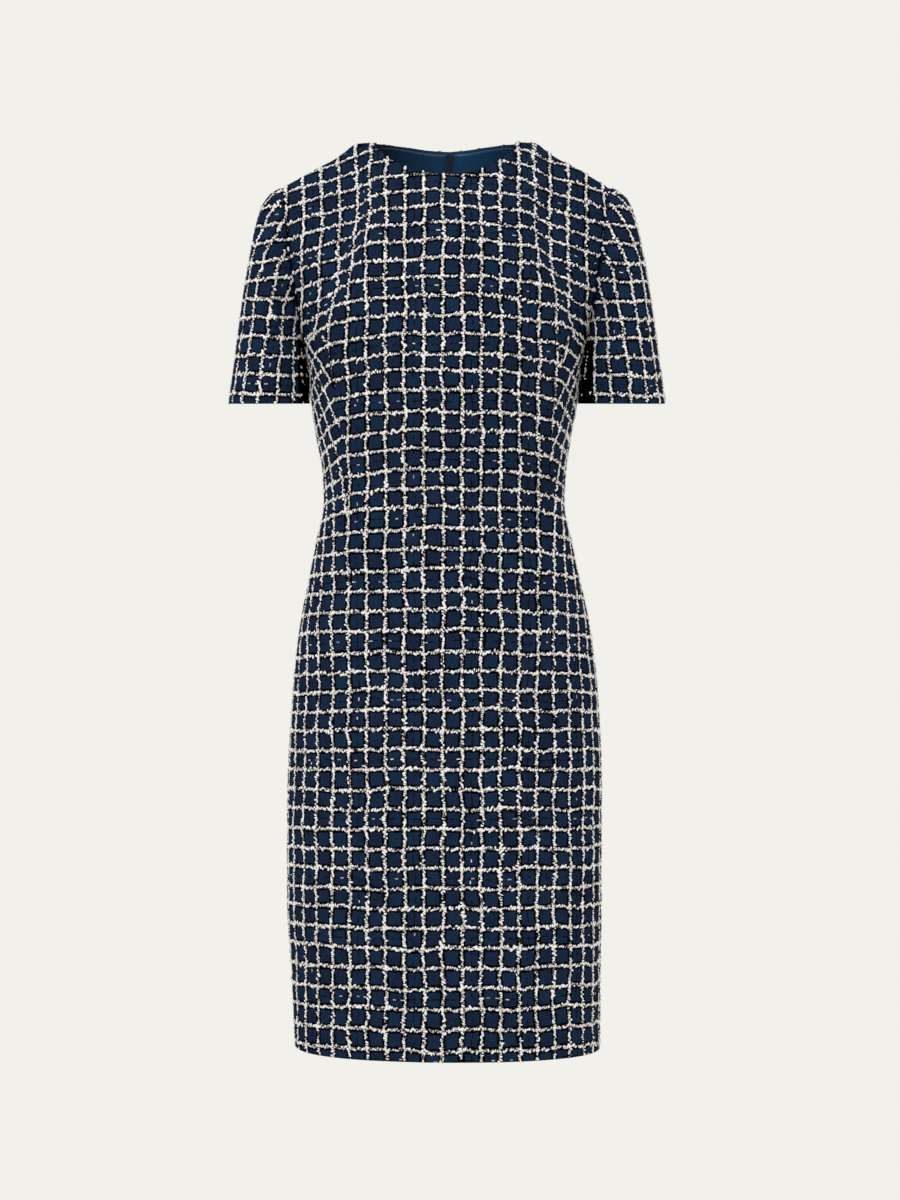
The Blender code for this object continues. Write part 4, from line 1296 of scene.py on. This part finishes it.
class Paint:
    """A material's node tree, with short ways to add and join nodes."""

    def __init__(self, name):
        self.material = bpy.data.materials.new(name)
        self.material.use_nodes = True
        self.nodes = self.material.node_tree.nodes
        self.links = self.material.node_tree.links
        self.shader = self.nodes["Principled BSDF"]

    def place(self):
        """Positions on the object, in metres."""
        return self.node("ShaderNodeTexCoord").outputs["Object"]

    def put(self, socket, value):
        if isinstance(value, bpy.types.NodeSocket):
            self.links.new(value, socket)
        elif isinstance(value, tuple) and len(value) == 3 and len(socket.default_value) == 4:
            socket.default_value = (*value, 1.0)
        else:
            socket.default_value = value

    def node(self, kind, settings=(), **inputs):
        """Adds a node. An input is named as Two_Words, or as _0 for its place among the inputs."""
        made = self.nodes.new(kind)
        for key, value in dict(settings).items():
            setattr(made, key, value)
        for key, value in inputs.items():
            socket = made.inputs[int(key[1:]) if key[0] == "_" else key.replace("_", " ")]
            self.put(socket, value)
        return made

    def math(self, operation, a, b=0.0, c=0.0):
        made = self.node("ShaderNodeMath", {"operation": operation})
        for socket, value in zip(made.inputs, (a, b, c)):
            self.put(socket, value)
        return made.outputs[0]

    def vector(self, operation, **inputs):
        return self.node("ShaderNodeVectorMath", {"operation": operation}, **inputs).outputs[0]

    def ramp(self, value, low, high, start=0.0, end=1.0):
        made = self.node("ShaderNodeMapRange", {"interpolation_type": "SMOOTHSTEP"})
        keys = ("Value", "From Min", "From Max", "To Min", "To Max")
        for key, item in zip(keys, (value, low, high, start, end)):
            self.put(made.inputs[key], item)
        return made.outputs["Result"]

    def mix(self, factor, a, b):
        made = self.node("ShaderNodeMix", {"data_type": "RGBA"})
        self.put(made.inputs[0], factor)
        self.put(made.inputs[6], a)
        self.put(made.inputs[7], b)
        return made.outputs[2]

    def noise(self, vector, scale, detail=2.0, roughness=0.5):
        made = self.node("ShaderNodeTexNoise")
        self.put(made.inputs["Vector"], vector)
        for key, item in (("Scale", scale), ("Detail", detail), ("Roughness", roughness)):
            self.put(made.inputs[key], item)
        return made

    def bump(self, height, strength, distance):
        made = self.node("ShaderNodeBump")
        self.put(made.inputs["Height"], height)
        made.inputs["Strength"].default_value = strength
        made.inputs["Distance"].default_value = distance
        self.links.new(made.outputs[0], self.shader.inputs["Normal"])

    def look(self, **values):
        """Sets the shader's inputs, each named as Two_Words."""
        for key, value in values.items():
            self.put(self.shader.inputs[key.replace("_", " ")], value)


def srgb(red, green, blue):
    """A colour given in 0 to 255 as it looks on a screen."""
    out = []
    for part in (red, green, blue):
        part /= 255
        out.append(part / 12.92 if part <= 0.04045 else ((part + 0.055) / 1.055) ** 2.4)
    return tuple(out)


def tweed_paint():
    """The navy ground, its fine weave, and under each ivory line the fuzz and a near-black bed of
    painted shade.
    """
    paint = Paint("tweed")
    weave = paint.node("ShaderNodeUVMap", {"uv_map": "weave"}).outputs[0]
    place = paint.place()
    wobble = paint.noise(place, 260.0, 2.0, 0.6).outputs["Color"]
    shifted = paint.vector("SUBTRACT", _0=wobble, _1=(0.5, 0.5, 0.5))
    shifted = paint.vector("SCALE", _0=shifted, Scale=0.16)
    warped = paint.vector("ADD", _0=weave, _1=shifted)
    parts = paint.node("ShaderNodeSeparateXYZ", _0=warped)
    plain = paint.node("ShaderNodeSeparateXYZ", _0=weave)

    def line(socket):
        return paint.math("ABSOLUTE", paint.math("SUBTRACT", socket, paint.math("ROUND", socket)))

    near = paint.math("MINIMUM", line(parts.outputs[0]), line(parts.outputs[1]))
    # Painted shade: a near-black band along each line, which shows in the gaps between the lumps
    bed_shade = paint.ramp(near, 0.15, 0.20, 1.0, 0.0)
    fuzz_noise = paint.noise(place, 620.0, 2.0, 0.7).outputs["Fac"]
    fuzz = paint.math(
        "MULTIPLY", paint.ramp(near, 0.05, 0.09, 1.0, 0.0), paint.ramp(fuzz_noise, 0.53, 0.59)
    )
    patch = paint.noise(place, 38.0, 1.0, 0.5).outputs["Fac"]
    fine = paint.noise(place, 900.0, 1.0, 0.5).outputs["Fac"]
    ground = paint.mix(paint.ramp(patch, 0.35, 0.65), srgb(18, 28, 46), srgb(20, 37, 57))
    ground = paint.mix(paint.ramp(fine, 0.40, 0.70, 0.0, 0.8), ground, srgb(32, 48, 72))
    third_u = paint.math("MULTIPLY", paint.math("SUBTRACT", plain.outputs[0], 1.5), 1 / 3)
    third_v = paint.math("MULTIPLY", paint.math("ADD", plain.outputs[1], 0.5), 1 / 3)
    thread = paint.math("MINIMUM", line(third_u), line(third_v))
    thread = paint.ramp(thread, 0.006, 0.014, 1.0, 0.0)
    gaps = paint.ramp(paint.noise(place, 210.0, 0.0).outputs["Fac"], 0.46, 0.54)
    ground = paint.mix(paint.math("MULTIPLY", thread, gaps), ground, srgb(8, 15, 28))
    colour = paint.mix(bed_shade, ground, srgb(2, 3, 6))
    colour = paint.mix(fuzz, colour, srgb(200, 194, 190))
    paint.look(Base_Color=colour, Roughness=1.0, Specular_IOR_Level=0.0)
    grain = paint.math("ADD", paint.math("MULTIPLY", fine, 0.6), paint.math("MULTIPLY", fuzz, 0.8))
    grain = paint.math("ADD", grain, paint.math("MULTIPLY", bed_shade, -0.5))
    paint.bump(grain, 0.5, 0.0006)
    return paint.material


def yarn_paint(name, light, dark):
    """Ivory boucle: each lump has its own tone, and painted shade darkens each lump's base."""
    paint = Paint(name)
    tone = paint.node("ShaderNodeAttribute", {"attribute_name": "tone"}).outputs["Fac"]
    place = paint.place()
    fine = paint.noise(place, 1500.0, 2.0, 0.6).outputs["Fac"]
    colour = paint.mix(paint.ramp(tone, 0.0, 0.35), dark, light)
    colour = paint.mix(paint.ramp(tone, 0.72, 1.0), colour, srgb(250, 236, 234))
    colour = paint.mix(paint.ramp(fine, 0.42, 0.62, 0.35, 0.0), colour, srgb(150, 138, 130))
    # Painted shade: each lump darkens to near-black at its base, between the lumps
    low = paint.node("ShaderNodeAttribute", {"attribute_name": "low"}).outputs["Fac"]
    colour = paint.mix(paint.ramp(low, 0.0, 0.8, 0.0, 0.95), colour, srgb(24, 24, 32))
    paint.look(Base_Color=colour, Roughness=0.85, Specular_IOR_Level=0.2)
    paint.bump(fine, 0.35, 0.0004)
    return paint.material


def satin_paint():
    paint = Paint("lining_satin")
    place = paint.place()
    broad = paint.noise(place, 14.0, 2.0, 0.5).outputs["Fac"]
    stretched = paint.node("ShaderNodeMapping", _0=place)
    stretched.inputs["Scale"].default_value = (1.0, 1.0, 0.08)
    fine = paint.noise(stretched.outputs[0], 2400.0, 1.0, 0.5).outputs["Fac"]
    colour = paint.mix(paint.ramp(broad, 0.35, 0.65), srgb(17, 56, 90), srgb(23, 68, 106))
    colour = paint.mix(paint.ramp(fine, 0.4, 0.7, 0.0, 0.5), colour, srgb(30, 74, 112))
    # Painted shade: the lining darkens towards -X, nearly black by x = -0.085
    side = paint.node("ShaderNodeSeparateXYZ", _0=place).outputs[0]
    colour = paint.mix(paint.ramp(side, -0.085, -0.005, 0.85, 0.0), colour, srgb(6, 14, 24))
    paint.look(Base_Color=colour, Roughness=0.42, Specular_IOR_Level=0.5)
    paint.look(Sheen_Weight=0.12, Sheen_Roughness=0.4)
    paint.bump(paint.math("ADD", broad, paint.math("MULTIPLY", fine, 0.05)), 0.25, 0.0012)
    return paint.material


def tape_paint():
    paint = Paint("zip_tape")
    place = paint.place()
    rib = paint.node("ShaderNodeTexWave", {"bands_direction": "Z"})
    paint.put(rib.inputs["Vector"], place)
    rib.inputs["Scale"].default_value = 380.0
    fine = paint.noise(place, 1600.0, 1.0).outputs["Fac"]
    colour = paint.mix(rib.outputs["Fac"], srgb(16, 40, 64), srgb(26, 54, 82))
    paint.look(Base_Color=colour, Roughness=0.8)
    paint.bump(paint.math("ADD", rib.outputs["Fac"], fine), 0.4, 0.0002)
    return paint.material


def coil_paint():
    paint = Paint("zip_coil")
    place = paint.place()
    fine = paint.noise(place, 700.0, 1.0).outputs["Fac"]
    colour = paint.mix(fine, srgb(18, 38, 60), srgb(30, 52, 78))
    paint.look(Base_Color=colour, Roughness=0.38)
    paint.bump(fine, 0.2, 0.0001)
    return paint.material


def enamel_paint():
    paint = Paint("zip_enamel")
    place = paint.place()
    fine = paint.noise(place, 500.0, 3.0, 0.6).outputs["Fac"]
    worn = paint.noise(place, 2600.0, 2.0, 0.6).outputs["Fac"]
    colour = paint.mix(fine, srgb(16, 30, 52), srgb(24, 42, 68))
    colour = paint.mix(paint.ramp(worn, 0.66, 0.72), colour, srgb(70, 84, 104))
    paint.look(Base_Color=colour, Roughness=paint.ramp(worn, 0.3, 0.7, 0.28, 0.42), Metallic=0.55)
    paint.bump(fine, 0.1, 0.0001)
    return paint.material


# ---- Build ----

tweed = tweed_paint()
ivory = yarn_paint("boucle_yarn", srgb(252, 249, 248), srgb(208, 202, 201))
stitch = yarn_paint("pale_stitch", srgb(170, 182, 200), srgb(120, 136, 160))
satin = satin_paint()
tape = tape_paint()
coil = coil_paint()
enamel = enamel_paint()

cloths = {
    "front": front_cloth(),
    "back_left": back_cloth(1),
    "back_right": back_cloth(-1),
    "sleeve_left": sleeve_cloth(1),
    "sleeve_right": sleeve_cloth(-1),
}

pieces = {}
for index, (node, cloth) in enumerate(cloths.items()):
    closed = node.startswith("sleeve")
    piece = shell(node + "_cloth", cloth, [tweed, satin], closed)
    near_zip = under_pull if node.startswith("back") else None
    columns = yarn(node + "_yarn_columns", cloth, False, ivory, SEED + 10 * index, near_zip)
    bare = at_front_neck if node == "front" else near_zip
    rows = yarn(node + "_yarn_rows", cloth, True, ivory, SEED + 10 * index + 1, bare)
    threads = dashes(node + "_stitches", cloth, stitch, SEED + 10 * index + 2)
    for part in (piece, columns, rows, threads):
        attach(part, BODY)
    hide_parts(node)
    pieces[node] = (piece, columns, rows, threads)

insides = {
    "lining_back_left": (lining_cloth(1), satin, LINING, "lining"),
    "lining_back_right": (lining_cloth(-1), satin, LINING, "lining"),
    "zip_tape_left": (tape_cloth(1), tape, TAPE, "zip_tape"),
    "zip_tape_right": (tape_cloth(-1), tape, TAPE, "zip_tape"),
}
for node, (cloth, paint, thickness, slot) in insides.items():
    kind = "satin" if slot == "lining" else "woven"
    piece = shell(f"{node}_{kind}", cloth, [paint, paint], False, thickness)
    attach(piece, BODY)
    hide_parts(node)
    cloths[node] = cloth
    pieces[node] = (piece,)
teeth = zip_teeth("zip_coil_turns", coil)
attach(teeth, BODY)
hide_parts("zip_coil")


def surface_area(points):
    across = np.diff(points, axis=1)[:-1]
    up = np.diff(points, axis=0)[:, :-1]
    return float(np.linalg.norm(np.cross(across, up), axis=-1).sum())


# The size each piece was cut to, before seams: the widest and the longest way across it.
CUT = {
    "front": (0.44, 0.97),
    "back_left": (0.225, 0.98),
    "back_right": (0.225, 0.98),
    "sleeve_left": (0.39, 0.26),
    "sleeve_right": (0.39, 0.26),
    "lining_back_left": (0.135, 0.235),
    "lining_back_right": (0.135, 0.235),
    "zip_tape_left": (0.0115, 0.55),
    "zip_tape_right": (0.0115, 0.55),
}
for node, (piece, *extras) in pieces.items():
    width, length = CUT[node]
    area = surface_area(cloths[node].points)

for name, paint in (("zip_slider", enamel), ("zip_pull", enamel)):
    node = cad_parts[name]
    for slot in node.material_slots:
        slot.material = paint

# ---- Stage, light and camera ----

CAMERA_DISTANCE = 3.0
CAMERA_HEIGHT = -0.587
LOOK_AT = Vector((0.0042, 0.0, -0.482))
FRAME_HEIGHT = 1.26
FLOOR_SIZE = 12.0
FLOOR_Z = -1.6
STUDIO_WHITE = srgb(241, 240, 234)
DAYLIGHT = (0.82, 0.91, 1.0)


def floor():
    """A pale floor as bright as the studio's white surroundings."""
    half = FLOOR_SIZE / 2
    corners = [(-half, -half), (half, -half), (half, half), (-half, half)]
    paint = Paint("pale_floor")
    paint.look(Base_Color=(0.0, 0.0, 0.0), Roughness=1.0, Specular_IOR_Level=0.0)
    paint.look(Emission_Color=STUDIO_WHITE, Emission_Strength=1.0)
    vertices = [(x, y, FLOOR_Z) for x, y in corners]
    mesh_object("floor", vertices, [(0, 1, 2, 3)], [0], [paint.material])


def area_light(name, place, aim, size, watts, colour=(1, 1, 1)):
    data = bpy.data.lights.new(name, "AREA")
    data.shape = "RECTANGLE"
    data.size, data.size_y = size
    data.energy = watts
    data.color = colour
    light = bpy.data.objects.new(name, data)
    light.location = place
    light.rotation_euler = (Vector(aim) - Vector(place)).to_track_quat("-Z", "Y").to_euler()
    bpy.context.scene.collection.objects.link(light)


def lights():
    area_light("key", (-1.3, -2.6, 0.9), (0.0, 0.0, -0.45), (1.2, 1.6), 34, DAYLIGHT)
    area_light("fill", (1.9, -2.4, 0.1), (0.0, 0.0, -0.5), (1.8, 2.2), 10, DAYLIGHT)
    area_light("top", (0.0, 0.2, 1.9), (0.0, 0.0, -0.2), (2.4, 1.6), 6)
    area_light("back", (0.6, 2.6, 0.6), (0.0, 0.0, -0.4), (2.0, 1.6), 12)
    world = bpy.data.worlds.new("studio")
    world.use_nodes = True
    world.node_tree.nodes["Background"].inputs[0].default_value = (*STUDIO_WHITE, 1.0)
    world.node_tree.nodes["Background"].inputs[1].default_value = 1.0
    bpy.context.scene.world = world


def camera():
    data = bpy.data.cameras.new("camera")
    data.sensor_fit = "VERTICAL"
    data.sensor_height = 24.0
    distance = math.hypot(CAMERA_DISTANCE, LOOK_AT.z - CAMERA_HEIGHT)
    data.lens = data.sensor_height * distance / FRAME_HEIGHT
    made = bpy.data.objects.new("camera", data)
    made.location = (LOOK_AT.x, -CAMERA_DISTANCE, CAMERA_HEIGHT)
    made.rotation_euler = (LOOK_AT - made.location).to_track_quat("-Z", "Y").to_euler()
    bpy.context.scene.collection.objects.link(made)
    bpy.context.scene.camera = made


floor()
lights()
camera()
bpy.context.scene.view_settings.view_transform = "Standard"
